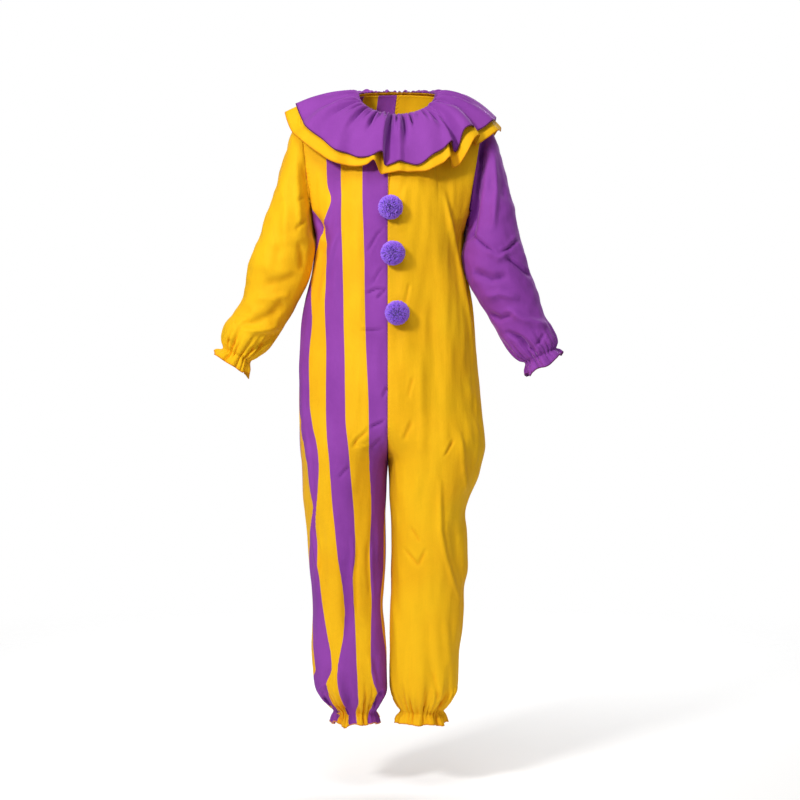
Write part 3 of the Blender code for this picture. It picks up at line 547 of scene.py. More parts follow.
@dataclass
class Sleeve:
    """A sleeve, gathered by elastic above its own end, which makes the cuff's frill.

    Attributes:
        side: the arm that it is on.
        rings: columns round the sleeve, twice the rows of the armhole on each panel.
        first_rows: distances of its first rows from the armhole.
        pitch, fine_pitch: distances between the other rows, above and at the cuff.
        cuff, elastic: the numbers of the sections where the cuff starts and of the elastic's.
        samples: how many points its length is measured with.
        hem_wave: how unevenly long the frill is.
        rounding, corner: how much shorter it is at its two sides, and how narrow they are.
        counts: the fewest and the most gathers round it, of the fine and of the broad ones.
        gather: rows of a section's number and the heights of the fine and of the broad gathers there.
    """

    side: Side
    rings: int = 132
    first_rows: tuple[float, ...] = (0, 0.0014, 0.0030, 0.006)
    pitch: float = 0.0035
    fine_pitch: float = 0.0016
    cuff: float = 8.0
    elastic: float = 12.0
    samples: int = 600
    hem_wave: float = 0.10
    rounding: float = 0.20
    corner: float = 0.032
    counts: tuple[tuple[int, int], ...] = ((19, 27), (7, 11))
    gather: np.ndarray = field(default_factory=lambda: np.array([
        (0, 0, 0), (8, 0, 0), (9, 0.0006, 0.0016), (10, 0.0018, 0.0026), (11, 0.0042, 0.0020),
        (12, 0.0024, 0.0004), (13, 0.0019, 0.0040), (14, 0.0010, 0.0036),
    ]))

    def point(self, place: np.ndarray, turn: np.ndarray) -> np.ndarray:
        """Points on the plain sleeve.

        Args:
            place: numbers of the sections, which may lie between two.
            turn: 0 at the underarm, over the front to 0.5 at the shoulder, and over the back to 1.

        Returns:
            The points, in an array that both shapes broadcast to.
        """
        place, turn = np.broadcast_arrays(place, turn)
        table = SLEEVES[self.side]
        table = np.concatenate([np.arange(len(table))[:, None], table], axis=1)
        inner_x, inner_z, outer_x, outer_z, depth, middle = np.moveaxis(through(table, place), -1, 0)
        sign = self.side.value
        inner = stack(sign * inner_x, middle, inner_z)
        outer = stack(sign * outer_x, middle, outer_z)
        angle = 2 * np.pi * turn
        forward = stack(0, -depth * np.sin(angle), 0)
        return inner + (outer - inner) * ((1 - np.cos(angle)) / 2)[..., None] + forward

    def lay(self) -> Sheet:
        """Lays out the sleeve as a sheet, open along the underarm.

        Returns:
            The sheet, its rows running down the arm.
        """
        dense = np.linspace(0, len(SLEEVES[self.side]) - 1, self.samples)
        middle = self.point(dense[:, None], np.array([0.25, 0.75])).mean(axis=1)
        run = lengths(middle, 0)
        cuff = np.interp(self.cuff, dense, run)
        *first, start = self.first_rows
        arm, frill = np.arange(start, cuff, self.pitch), np.arange(cuff, run[-1], self.fine_pitch)
        place = np.interp([*first, *arm, *frill, run[-1]], run, dense)[:, None]
        turn = np.linspace(0, 1, self.rings + 1)
        seed = 5 + self.side.value
        corner = (turn + 0.25) % 0.5 - 0.25
        short = self.rounding * np.exp(-((corner / self.corner) ** 2))
        wavy = 1 + self.hem_wave * ripple(turn, (3, 6), seed + 20) - short
        place = place + np.clip(place - self.elastic, 0, None) * (wavy - 1)
        points = self.point(place, turn)
        hub = points.mean(axis=1, keepdims=True)
        away = points - hub
        away /= np.linalg.norm(away, axis=-1, keepdims=True)
        frill = unit((place - self.elastic) / 0.5)
        wave = gathers(turn, through(self.gather, place), frill, self.counts, seed)
        points = points + away * wave[..., None]
        across, along = lengths(points, 1), lengths(points, 0)
        around = across[:, -1:] * np.ones_like(across)
        seam = np.minimum(np.minimum(across, around - across), along)
        grain = np.stack([across - around / 2, along], axis=-1)
        edges = np.stack([seam, along[-1:] - along], axis=-1)
        return Sheet(f"sleeve_{self.side.word}", points, grain, edges, self.side is Side.RIGHT)


@dataclass
class Panel:
    """A front or a back of the body and its leg, from the neckline down to the hem at the ankle.

    Attributes:
        side, face: which quarter of the body it covers.
        neckline: the neck opening that it ends at.
        sleeve: the sleeve that is sewn into its armhole.
        columns: columns from the middle seam round to the side seam, half as many on the backs.
        beside_seams: shares of the way across where it has further columns.
        samples: how many points a section's curve is measured with.
        pitch, fine_pitch: distances between its rows, above and at the ankle.
        roundness: exponent of the body's sections, 2 for an ellipse and more for a boxier one.
        split_top, crotch: the heights between which the halves part into legs.
        shoulder_sag: how far the shoulder seam hangs.
        seam_bend: shares of the middle seam's rise where it leaves the underarm's level straight up and
            where it reaches the neckline from, with that point's share of the way back between them.
        gathered, elastic: the heights of the ankle's upper end and of its elastic.
        frill_rise: the height within which the frill opens under the elastic.
        frill_drop, hem_wave: how much further the frill hangs than its sections say, and how unevenly.
        plumb: how far from the middle of the body the cloth hangs plumb.
        sleeve_end: the height above which the sleeve covers the side.
        taper: over how many rows to either side the stripes' lines are evened at the side seam.
        taper_start, taper_width: from which share of the way across they are, and how far on fully.
        counts: the fewest and the most gathers round it, of the fine and of the broad ones.
        gather: rows of a height and how high the fine and the broad gathers stand there.
    """

    side: Side
    face: Face
    neckline: Neckline
    sleeve: Sleeve
    columns: int = 96
    beside_seams: tuple[float, ...] = (0.005, 0.0095, 0.9905, 0.995)
    samples: int = 161
    pitch: float = 0.0036
    fine_pitch: float = 0.0019
    roundness: float = 2.2
    split_top: float = -0.630
    crotch: float = -0.741
    shoulder_sag: float = 0.003
    seam_bend: tuple[float, float, float] = (0.36, 0.80, 0.62)
    gathered: float = -1.212
    elastic: float = -1.260
    frill_rise: float = 0.004
    frill_drop: float = 0.20
    hem_wave: float = 0.20
    plumb: float = 0.082
    sleeve_end: float = -0.380
    taper: int = 42
    taper_start: float = 0.74
    taper_width: float = 0.15
    counts: tuple[tuple[int, int], ...] = ((25, 37), (9, 13))
    gather: np.ndarray = field(default_factory=lambda: np.array([
        (1.150, 0, 0), (1.190, 0.0003, 0.0014), (1.215, 0.0013, 0.0034), (1.235, 0.0031, 0.0034),
        (1.249, 0.0048, 0.0016), (1.258, 0.0026, 0.0003), (1.267, 0.0022, 0.0038), (1.277, 0.0012, 0.0048),
    ]))

    def shares(self) -> np.ndarray:
        """The columns' shares of the way across, close together at the seams.

        Returns:
            The shares, from 0 at the middle seam to 1 at the side.
        """
        columns = self.columns if self.face is Face.FRONT else self.columns // 2
        plain = np.linspace(0, 1, columns + 1)
        return np.unique([*plain, *self.beside_seams])

    def body(self, heights: np.ndarray) -> np.ndarray:
        """The plain panel's rows at these heights, below the underarm.

        Args:
            heights: of the rows.

        Returns:
            The rows of points, from the middle seam to the side seam.
        """
        table = LEVELS.copy()
        table[:, 0] *= -1
        row = through(table, -heights)
        first = 0 if self.side is Side.RIGHT else 2
        inner, outer = row[:, first], row[:, first + 1]
        depth, middle = row[:, 4 if self.face is Face.FRONT else 5], row[:, 6]
        split = smooth(unit((self.split_top - heights) / (self.split_top - self.crotch)))
        upper = heights > self.crotch
        cut = np.where(upper, np.pi / 2 + np.arcsin(split ** (self.roundness / 2)), np.pi)
        inner = np.where(upper, outer * (split - 1) / (split + 1), inner)
        centre, half = (outer + inner) / 2, (outer - inner) / 2
        angle = cut[:, None] * np.linspace(1, 0, self.samples)[None, :]
        power = 2 / self.roundness
        cosine = np.sign(np.cos(angle)) * np.abs(np.cos(angle)) ** power
        sine = np.abs(np.sin(angle)) ** power
        x = self.side.value * (centre[:, None] + half[:, None] * cosine)
        y = middle[:, None] + self.face.value * depth[:, None] * sine
        curve = stack(x, y, heights[:, None])
        run, shares = lengths(curve, 1), self.shares()
        rows = [
            np.stack([np.interp(shares * far[-1], far, line[:, axis]) for axis in range(3)], axis=-1)
            for line, far in zip(curve, run)
        ]
        points = np.array(rows)
        points[upper & (split < 1), 0, 0] = 0.0
        standing = through(self.gather, np.maximum(-heights, self.gather[0, 0]))[:, None]
        hub = stack(self.side.value * centre, middle, heights)[:, None]
        away = points - hub
        turn = np.arctan2(away[..., 1], away[..., 0]) / (2 * np.pi)
        away /= np.linalg.norm(away, axis=-1, keepdims=True) + 1e-9
        seed = 20 + self.side.value
        frill = unit((self.elastic - heights) / self.frill_rise)[:, None]
        points = points + away * gathers(turn, standing, frill, self.counts, seed)[..., None]
        below = np.clip(self.elastic - heights, 0, None)[:, None]
        points[..., 2] -= below * (self.frill_drop + self.hem_wave * ripple(turn, (4, 7), seed + 20))
        return points

    def top(self) -> np.ndarray:
        """The neckline and then the shoulder seam, from the middle seam out to the shoulder's tip.

        Returns:
            The points of the top row.
        """
        shares = self.shares()
        quarter = np.pi / 2 * np.minimum(shares * 2, 1)
        angle = self.side.value * (quarter if self.face is Face.FRONT else np.pi - quarter)
        neck = self.neckline.seam(angle)
        tip = self.sleeve.point(np.zeros(1), np.array([0.5]))[0]
        out = unit(shares * 2 - 1)[:, None]
        return neck + (tip - neck) * out - stack(0, 0, self.shoulder_sag * np.sin(np.pi * out[:, 0]))

    def middle_seam(self, up: np.ndarray) -> np.ndarray:
        """The middle seam above the underarm, from share 0 at that level to 1 at the neckline.

        Args:
            up: shares of the way up.

        Returns:
            The points there.
        """
        level = LEVELS[0]
        depth = self.face.value * level[5 if self.face is Face.FRONT else 6]
        foot = np.array([0, level[7] + depth, level[0]])
        end = self.neckline.seam(np.array([0.0 if self.face is Face.FRONT else np.pi]))[0]
        rise = end[2] - foot[2]
        low, high, back = self.seam_bend
        lower = foot + [0, 0, low * rise]
        upper = np.array([end[0] / 2, end[1] + (foot[1] - end[1]) * back, foot[2] + high * rise])
        return bezier([foot, lower, upper, end], up[:, None])

    def yoke(self) -> np.ndarray:
        """Rows above the underarm, top first, drawn between the panel's four cut edges.

        Returns:
            The rows of points.
        """
        steps = self.sleeve.rings // 2
        up = np.arange(steps, 0, -1) / steps
        foot, top = self.body(LEVELS[:1, 0])[0], self.top()
        middle = self.middle_seam(up)
        turn = up / 2 if self.face is Face.FRONT else 1 - up / 2
        armhole = self.sleeve.point(np.zeros(1), turn)
        out, up = self.shares()[None, :, None], up[:, None, None]
        along = foot + (top - foot) * up + middle[:, None] + (armhole - middle)[:, None] * out
        low = foot[0] + (foot[-1] - foot[0]) * out
        high = top[0] + (top[-1] - top[0]) * out
        return along - (low + (high - low) * up)

    def lay(self) -> Sheet:
        """Lays out the panel as a sheet.

        Returns:
            The sheet, its rows running down the body and the leg.
        """
        top, gathered, hem = LEVELS[0, 0], self.gathered, LEVELS[-1, 0]
        heights = np.concatenate([
            np.linspace(top, gathered, round((top - gathered) / self.pitch)),
            np.linspace(gathered, hem, round((gathered - hem) / self.fine_pitch))[1:],
        ])
        points = np.concatenate([self.yoke(), self.body(heights)])
        across, along = lengths(points, 1), lengths(points, 0)
        seam = np.minimum(np.minimum(across, across[:, -1:] - across), along)
        edges = np.stack([seam, along[-1:] - along], axis=-1)
        grain = np.stack([self.grain(points, across), along], axis=-1)
        turned = (self.side is Side.RIGHT) != (self.face is Face.BACK)
        return Sheet(f"{self.face.word}_{self.side.word}", points, grain, edges, turned)

    def grain(self, points: np.ndarray, across: np.ndarray) -> np.ndarray:
        """How far across the cloth each point lies.

        The cloth hangs plumb down the middle of each leg. On the striped front the stripes' edges say where
        it lies, and at the side, where it turns away, their lines are drawn out into long tapers.

        Args:
            points: the panel's points, in rows.
            across: how far each of them lies from the first of its row.

        Returns:
            The distances across the cloth.
        """
        if self.side is Side.LEFT or self.face is Face.BACK:
            rise = np.maximum.accumulate(np.abs(points[..., 0]) + 1e-6 * across, axis=1)
            lead = np.array([np.interp(self.plumb, line, far) for line, far in zip(rise, across)])
            below = points[:, 0, 2] < self.split_top
            lead = np.where(below, lead - lead[np.argmax(below)], 0.0)
            flat = across - lead[:, None]
            ankle = points[:, 0, 2] < self.elastic + 0.05
            flat[ankle] = flat[np.argmax(ankle)]
            return flat
        place = seen(points)
        beyond = place[..., :1] - through(STRIPES * np.array([-1, *[1] * 6]), -place[..., 1])
        lines = np.empty((len(across), beyond.shape[-1]))
        for row, far in enumerate(across):
            known = []
            for gap in beyond[row].T:
                hits = np.nonzero((gap[:-1] > 0) & (gap[1:] <= 0))[0]
                if len(hits):
                    at = hits[0]
                    share = gap[at] / (gap[at] - gap[at + 1])
                    known.append(far[at] + (far[at + 1] - far[at]) * share)
                elif gap[0] <= 0:
                    known.append(2 * gap[0])
                else:
                    known.append(far[-1] + 2 * gap.min())
            lines[row] = known
        wide = across[:, -1:]
        window = np.hanning(2 * self.taper + 3)[1:-1]
        padded = np.pad(lines, ((self.taper, self.taper), (0, 0)), mode="edge")
        soft = np.array([np.convolve(line, window / window.sum(), "valid") for line in padded.T]).T
        side = smooth(unit((lines / wide - self.taper_start) / self.taper_width))
        free = unit((self.sleeve_end - points[:, :1, 2]) / 0.08)
        lines += (soft - lines) * side * free
        found = np.empty_like(across)
        for row, (far, known) in enumerate(zip(across, lines)):
            known = np.maximum.accumulate([known[0] - STRIPE, *known, max(known[-1], far[-1]) + STRIPE])
            number = np.arange(len(known))
            found[row] = np.interp(far, known + 1e-6 * number, (number - 1) * STRIPE)
        return found


@dataclass
class Ruffle:
    """A gathered circular ruffle of the collar.

    Attributes:
        node: the solid that it stands for.
        neckline: the neck opening that it is sewn to.
        shares: how far along the smooth collar it starts and ends.
        depth: its place in the stack, 0 on top.
        columns: columns all round.
        rows: where its rows start and end, and how many they are, for each of its zones.
        tucks: how many gathers the neck has.
        tuck_height: how high they stand.
        tuck_window: rows of a share of the way out and how much of that height they have there.
        step, spread, spread_growth: how far the lower ruffle lies under the upper one at the neck, how much
            further at the edge, and the power with which that grows.
        puff: how far the cloth between the gathers' hollows stands up.
        start: over what share of the way out the puffs and the hollows grow to their full height.
        growth: the power with which the flutes grow from the neck to the edge.
        length: of the cloth from the neck to the upper ruffle's edge.
    """

    node: str
    neckline: Neckline
    shares: tuple[float, float]
    depth: int
    columns: int = 540
    rows: tuple[tuple[float, float, int], ...] = ((0, 0.20, 14), (0.20, 0.94, 28), (0.94, 1, 6))
    tucks: int = 54
    tuck_height: float = 0.0028
    tuck_window: tuple[tuple[float, float], ...] = (
        (0, 0.25), (0.03, 0.4), (0.05, 0.3), (0.09, 1), (0.20, 0.7), (0.42, 0)
    )
    step: float = 0.0019
    spread: float = 0.0045
    spread_growth: float = 0.3
    puff: float = 0.005
    start: float = 0.16
    growth: float = 0.85
    length: float = 0.13

    def surface(self, angle: np.ndarray, share: np.ndarray) -> np.ndarray:
        """The ruffle's points, a row for each share of the way from the neck to the edge.

        Args:
            angle: angles round the neck.
            share: shares of the way from the neck to the edge.

        Returns:
            The points, along a last axis.
        """
        first, last = self.shares
        share, angle = np.broadcast_arrays(share, angle)
        share = first + (last - first) * share
        place = (np.degrees(angle) + 180) % 360 - 180
        lean, height, rise = np.moveaxis(through(FLUTES[self.node], place, 360.0), -1, 0)
        growth = share**self.growth
        fall = self.depth * (self.step + self.spread * share**self.spread_growth)
        fall = fall + self.gathered(angle, share)
        turn = angle / (2 * np.pi)
        reach = share / (1 + 0.45 * ripple(turn, (13, 29), 44))
        window = np.interp(reach, *np.transpose(self.tuck_window))
        tuck = window * self.tuck_height * pinch(ripple(turn, (self.tucks - 12, self.tucks + 12), 40))
        turned = angle + np.radians(lean) * growth
        drawn = share - rise / self.length * growth
        normal = self.neckline.normal(turned, drawn)
        return self.neckline.base(turned, drawn) + normal * (height * growth + tuck - fall)[..., None]

    def gathered(self, angle: np.ndarray, share: np.ndarray) -> np.ndarray:
        """How deep the gathers' hollows press the cloth in.

        Args:
            angle: angles round the neck.
            share: shares of the way out on the smooth collar.

        Returns:
            The depths, below zero where the cloth stands up.
        """
        begun = unit(share / self.start)
        total = -self.puff * begun * unit((0.95 - share) / 0.6)
        for middle, end, width, depth in GATHERS:
            off = (angle - math.radians(middle) + np.pi) % (2 * np.pi) - np.pi
            left = unit((end - share) / (0.65 * end))
            window = begun * smooth(left)
            total += depth * window * np.exp(-((off / (math.radians(width) * (0.55 + 0.7 * share))) ** 2))
        return total

    def lay(self) -> Sheet:
        """Lays out the ruffle as a sheet, closed at the back, its columns evenly apart at the edge.

        Returns:
            The sheet, its rows running outwards.
        """
        rows = np.unique(np.concatenate([np.linspace(*zone) for zone in self.rows]))[:, None]
        fine = np.linspace(-np.pi, np.pi, 6 * self.columns + 1)
        run = lengths(self.surface(fine, np.ones(1)), 0)
        run = run / run[-1] + (fine - fine[0]) / (2 * np.pi)
        angle = np.interp(np.linspace(0, run[-1], self.columns + 1), run, fine)[None, :]
        points = self.surface(angle, rows)
        across, along = lengths(points, 1), lengths(points, 0)
        hem = along[-1:] - along
        return Sheet(self.node, points, np.stack([across, along], -1), np.stack([along, hem], -1))


class Value:
    """A number in a shader. Arithmetic on it adds Math nodes."""

    def __init__(self, bench: "Bench", socket: bpy.types.NodeSocket) -> None:
        """Wraps an output socket of a node on this bench."""
        self.bench, self.socket = bench, socket

    def __add__(self, other: Any) -> "Value":
        """self + other"""
        return self.bench.maths("ADD", self, other)

    def __sub__(self, other: Any) -> "Value":
        """self - other"""
        return self.bench.maths("SUBTRACT", self, other)

    def __mul__(self, other: Any) -> "Value":
        """self * other"""
        return self.bench.maths("MULTIPLY", self, other)

    def __abs__(self) -> "Value":
        """The value without its sign."""
        return self.bench.maths("ABSOLUTE", self)

    def sine(self) -> "Value":
        """The sine of the value."""
        return self.bench.maths("SINE", self)

    def ramp(self, low: float, high: float) -> "Value":
        """A smooth step from 0 at low to 1 at high, or down where low is the greater.

        Args:
            low: where the step starts.
            high: where it ends.

        Returns:
            The step's height.
        """
        ends = {"From Min": min(low, high), "From Max": max(low, high), "Value": self}
        ends |= {"To Min": float(low > high), "To Max": float(low < high)}
        made = self.bench.node("MapRange", {"interpolation_type": "SMOOTHSTEP"}, ends)
        return Value(self.bench, made.outputs["Result"])


class Bench:
    """The nodes of one material."""

    def __init__(self, name: str) -> None:
        """Starts a material with its Principled shader.

        Args:
            name: of the material.
        """
        self.material = bpy.data.materials.new(name)
        self.material.use_nodes = True
        self.tree = self.material.node_tree
        self.shader = self.tree.nodes["Principled BSDF"]

    def node(self, kind: str, settings: dict[str, Any], inputs: dict[Any, Any]) -> bpy.types.Node:
        """Adds a node.

        Args:
            kind: its type, without the ShaderNode that it starts with.
            settings: its own properties.
            inputs: numbers, colours, values or sockets for its inputs.

        Returns:
            The node.
        """
        made = self.tree.nodes.new(f"ShaderNode{kind}")
        for name, value in settings.items():
            setattr(made, name, value)
        for key, value in inputs.items():
            self.put(made.inputs[key], value)
        return made

    def put(self, socket: bpy.types.NodeSocket, value: Any) -> None:
        """Links a value to an input or sets it to a constant.

        Args:
            socket: the input.
            value: a wrapped number, a socket or a constant.
        """
        if isinstance(value, Value):
            value = value.socket
        if isinstance(value, bpy.types.NodeSocket):
            self.tree.links.new(value, socket)
        else:
            socket.default_value = value

    def maths(self, operation: str, *values: Any) -> Value:
        """The result of a Math node."""
        made = self.node("Math", {"operation": operation}, dict(enumerate(values)))
        return Value(self, made.outputs[0])

    def map(self, name: str) -> tuple[Value, Value, bpy.types.NodeSocket]:
        """The two distances of one of the piece's own maps, and both as a vector.

        Args:
            name: of the map.

        Returns:
            The first distance, the second, and the socket with both.
        """
        place = self.node("UVMap", {"uv_map": name}, {}).outputs["UV"]
        parts = self.node("SeparateXYZ", {}, {"Vector": place})
        return Value(self, parts.outputs["X"]), Value(self, parts.outputs["Y"]), place

    def noise(self, place: Any, scale: float, detail: float = 3.0, stretch: tuple = (1, 1, 1)) -> Value:
        """Noise from 0 to 1 at a place, or on the object where place is None.

        Args:
            place: a socket with the place, or None.
            scale: how fine the noise is.
            detail: how many finer layers it has.
            stretch: scales of the place along its axes.

        Returns:
            The noise.
        """
        if place is None:
            place = self.node("TexCoord", {}, {}).outputs["Object"]
        if stretch != (1, 1, 1):
            place = self.node("Mapping", {}, {"Vector": place, "Scale": stretch}).outputs["Vector"]
        made = self.node("TexNoise", {}, {"Vector": place, "Scale": scale, "Detail": detail})
        return Value(self, made.outputs[0])

    def blend(self, share: Any, first: Any, second: Any, how: str = "MIX") -> bpy.types.NodeSocket:
        """The first colour changed to the second by a share."""
        made = self.node("Mix", {"data_type": "RGBA", "blend_type": how}, {0: share, 6: first, 7: second})
        return made.outputs[2]

    def finish(self, colour: Any, roughness: Any, height: Value, **fixed: float) -> bpy.types.Material:
        """Puts a colour, a roughness, a relief in metres and fixed settings on the shader.

        Args:
            colour: a colour or a socket.
            roughness: a number or a value.
            height: the relief.
            fixed: constants for other inputs, by name.

        Returns:
            The finished material.
        """
        relief = self.node("Bump", {}, {"Height": height, "Strength": 1.0, "Distance": 1.0})
        self.put(self.shader.inputs["Base Color"], colour)
        self.put(self.shader.inputs["Roughness"], roughness)
        self.put(self.shader.inputs["Normal"], relief.outputs["Normal"])
        for name, value in fixed.items():
            self.put(self.shader.inputs[name.replace("_", " ")], value)
        return self.material


def grey(value: float) -> Colour:
    """A colour with equal parts."""
    return (value, value, value, 1.0)


@dataclass(frozen=True)
class WovenCloth:
    """Plain-woven polyester with a slight sheen.

    Attributes:
        name: the material's name.
        colour, deep: its colour, and a deeper one that it wanders towards, which also darkens its stitches,
            its seams and, as painted shade, its hollows.
        edging: the darker colour laid along its hem's edge.
        thread: distance between its threads.
        hem: how far the hem's stitches lie from the edge.
        stitch: length of a stitch.
        weave, slubs: heights of its threads and of their uneven thickness.
        crush, drag: heights of its small creases, all round and along it.
        pucker, pucker_wave: height and length of the puckers beside its seams.
        ditch: how deep its seams, its hem's stitches and the hem's fold lie.
        shadow: how much deeper its colour is painted in the hollows, as shade.
        sheen, gloss: how strongly it shines at its edges, and in what colour.
        roughness: how dull it is.
    """

    name: str
    colour: Colour
    deep: Colour
    edging: Colour
    thread: float = 0.0007
    hem: float = 0.0045
    stitch: float = 0.0032
    weave: float = 0.000014
    slubs: float = 0.00003
    crush: float = 0.0008
    drag: float = 0.0008
    pucker: float = 0.00022
    pucker_wave: float = 0.0085
    ditch: tuple[float, float, float] = (0.0003, 0.00020, 0.0001)
    shadow: float = 0.6
    sheen: float = 0.04
    gloss: Colour = (1.0, 0.85, 0.45, 1)
    roughness: float = 0.66

    def tint(self, bench: Bench, across: Value) -> tuple[Any, Any]:
        """The cloth's colour and its deeper colour, and the relief of joins between colours."""
        return (self.colour, self.deep), across * 0.0

    def dress(self) -> bpy.types.Material:
        """Makes the material.

        Returns:
            The material.
        """
        bench = Bench(self.name)
        across, along, place = bench.map("cloth")
        seam, hem, _ = bench.map("edges")
        # how deep each point lies in a hollow, which the painted shade below follows
        hollow, _, _ = bench.map("hollow")
        turn = 2 * math.pi
        warp = (across * (turn / self.thread)).sine()
        weft = (along * (turn / self.thread)).sine()
        slub = bench.noise(place, 260.0, 2.0, (1, 0.08, 1)) + bench.noise(place, 260.0, 2.0, (0.08, 1, 1))
        cloud = bench.noise(None, 9.0, 4.0)
        crush = bench.noise(None, 38.0, 4.0, (1, 1, 0.55))
        pucker = ((along + across) * (turn / self.pucker_wave) + cloud * 9.0).sine() * seam.ramp(0.011, 0.0)
        hem_line = abs(hem - self.hem).ramp(0.0005, 0.0002)
        stitches = hem_line * (across * (turn / self.stitch)).sine().ramp(-0.5, -0.1)
        fold_line = abs(hem - self.hem * 1.6).ramp(0.0012, 0.0)
        drag = bench.noise(None, 70.0, 3.0, (1, 1, 0.16))
        (colour, deep), join = self.tint(bench, across)
        shade = bench.blend(cloud.ramp(0.30, 0.75) * 0.55, colour, deep)
        threads = bench.blend((warp * weft * 0.5 + 0.5) * 0.10 + slub * 0.05, shade, grey(0.0))
        marks_and_painted_shade = stitches * 0.35 + seam.ramp(0.0011, 0.0) * 0.30
        # painted shade: the colour is multiplied darker in the cloth's hollows, and further in the deepest
        # ones
        marks_and_painted_shade = marks_and_painted_shade + hollow.ramp(0.0002, 0.0040) * self.shadow + hollow.ramp(0.0040, 0.0110) * 0.35
        # this holds the stitches, the seams' joins and the painted shade in the hollows
        sewn = bench.blend(marks_and_painted_shade, threads, deep, "MULTIPLY")
        sewn = bench.blend(hem.ramp(0.0030, 0.0018) * 0.85, sewn, self.edging)
        relief = warp * weft * self.weave + slub * self.slubs + crush * self.crush + drag * self.drag
        relief = relief + pucker * self.pucker
        at_seam, at_stitches, at_fold = self.ditch
        relief = relief - hem_line * at_stitches - fold_line * at_fold
        relief = relief - seam.ramp(0.0018, 0.0) * at_seam + join
        rough = cloud * 0.10 + crush * 0.08 + (self.roughness - 0.09)
        return bench.finish(
            sewn, rough, relief, Sheen_Weight=self.sheen, Sheen_Roughness=0.35, Sheen_Tint=self.gloss,
            Specular_IOR_Level=0.08,
        )


@dataclass(frozen=True)
class StripedCloth(WovenCloth):
    """The same cloth in stripes of two colours, which start with the second at the middle seam.

    Attributes:
        stripe, stripe_deep: the second colour and its deeper one.
        groove: how deep the joins between the stripes lie.
    """

    stripe: Colour = grey(0.5)
    stripe_deep: Colour = grey(0.5)
    groove: float = 0.00018

    def tint(self, bench: Bench, across: Value) -> tuple[Any, Any]:
        """The stripes' colours and their deeper ones, and the joins between them.

        Args:
            bench: the material's nodes.
            across: the distance across the cloth.

        Returns:
            The two colours, and the relief of the joins.
        """
        wave = (across * (math.pi / STRIPE)).sine()
        mask = wave.ramp(-0.02, 0.02)
        join = abs(wave).ramp(0.05, 0.0) * -self.groove
        colour = bench.blend(mask, self.colour, self.stripe)
        return (colour, bench.blend(mask, self.deep, self.stripe_deep)), join


@dataclass(frozen=True)
class Yarn:
    """Fluffy cut yarn, its colour painted darker towards the strands' roots as the shade between them.

    Attributes:
        name: the material's name.
        tip, root, glint: colours of the strands' tips, of their roots, darker as painted shade, and of the
            paler strands.
    """

    name: str
    tip: Colour
    root: Colour
    glint: Colour

    def dress(self) -> bpy.types.Material:
        """Makes the material.

        Returns:
            The material.
        """
        bench = Bench(self.name)
        depth, pick, _ = bench.map("strand")
        fuzz = bench.noise(None, 900.0, 2.0)
        strand = bench.blend(pick, self.tip, self.glint)
        # painted shade: the strands darken towards their roots, deep in the ball where shade falls
        colour = bench.blend(depth.ramp(0.97, 0.55), strand, self.root)
        return bench.finish(
            colour, fuzz * 0.1 + 0.85, fuzz * 0.0002, Sheen_Weight=0.35, Sheen_Roughness=0.5,
            Specular_IOR_Level=0.15,
        )


@dataclass(frozen=True)
class Paper:
    """The studio's pale floor.

    Attributes:
        name: the material's name.
        colour: its colour.
        edge: how far from the middle it has faded away.
    """

    name: str = "floor_paper"
    colour: Colour = grey(0.97)
    edge: float = 3.6

    def dress(self) -> bpy.types.Material:
        """Makes the material.

        Returns:
            The material.
        """
        bench = Bench(self.name)
        grain = bench.noise(None, 60.0, 3.0)
        colour = bench.blend(grain * 0.08, self.colour, grey(0.93))
        bench.finish(colour, grain * 0.1 + 0.8, grain * 0.0001)
        place = bench.node("TexCoord", {}, {}).outputs["Object"]
        far = Value(bench, bench.node("VectorMath", {"operation": "LENGTH"}, {0: place}).outputs["Value"])
        bench.put(bench.shader.inputs["Alpha"], far.ramp(self.edge, self.edge * 0.35))
        return bench.material


def only(*things: bpy.types.Object) -> None:
    """Selects only these objects, the first of them active.

    Args:
        things: the objects.
    """
    for other in bpy.context.view_layer.objects:
        other.select_set(other in things)
    bpy.context.view_layer.objects.active = things[0]


def add_mesh(name: str, points: np.ndarray, faces: np.ndarray) -> bpy.types.Object:
    """Adds an object with these points and faces, shaded smooth.

    Args:
        name: of the object and its mesh.
        points: its points.
        faces: the numbers of each face's points.

    Returns:
        The object.
    """
    data = bpy.data.meshes.new(name)
    data.from_pydata(points.tolist(), [], faces.tolist())
    data.shade_smooth()
    made = bpy.data.objects.new(name, data)
    bpy.context.scene.collection.objects.link(made)
    return made


def grid_faces(shape: tuple[int, ...], start: int = 0) -> np.ndarray:
    """The faces between a grid's points, the first of which has the number start."""
    index = np.arange(shape[0] * shape[1]).reshape(shape[:2]) + start
    return np.stack([index[:-1, :-1], index[1:, :-1], index[1:, 1:], index[:-1, 1:]], -1).reshape(-1, 4)


@contextmanager
def editing(part: bpy.types.Object) -> Iterator[None]:
    """Opens a mesh for editing, all of it selected.

    Args:
        part: the mesh's object.
    """
    only(part)
    bpy.ops.object.mode_set(mode="EDIT")
    bpy.ops.mesh.select_all(action="SELECT")
    yield
    bpy.ops.object.mode_set(mode="OBJECT")


def weld(part: bpy.types.Object) -> None:
    """Makes one point of those that lie in the same place."""
    with editing(part):
        bpy.ops.mesh.remove_doubles(threshold=MERGE)


def read(data: bpy.types.Mesh) -> tuple[np.ndarray, np.ndarray]:
    """A mesh's points and their outward normals.

    Args:
        data: the mesh.

    Returns:
        The points and the normals, a row each.
    """
    points, normals = np.empty((len(data.vertices), 3)), np.empty((len(data.vertices), 3))
    data.vertices.foreach_get("co", points.ravel())
    data.vertex_normals.foreach_get("vector", normals.ravel())
    return points, normals


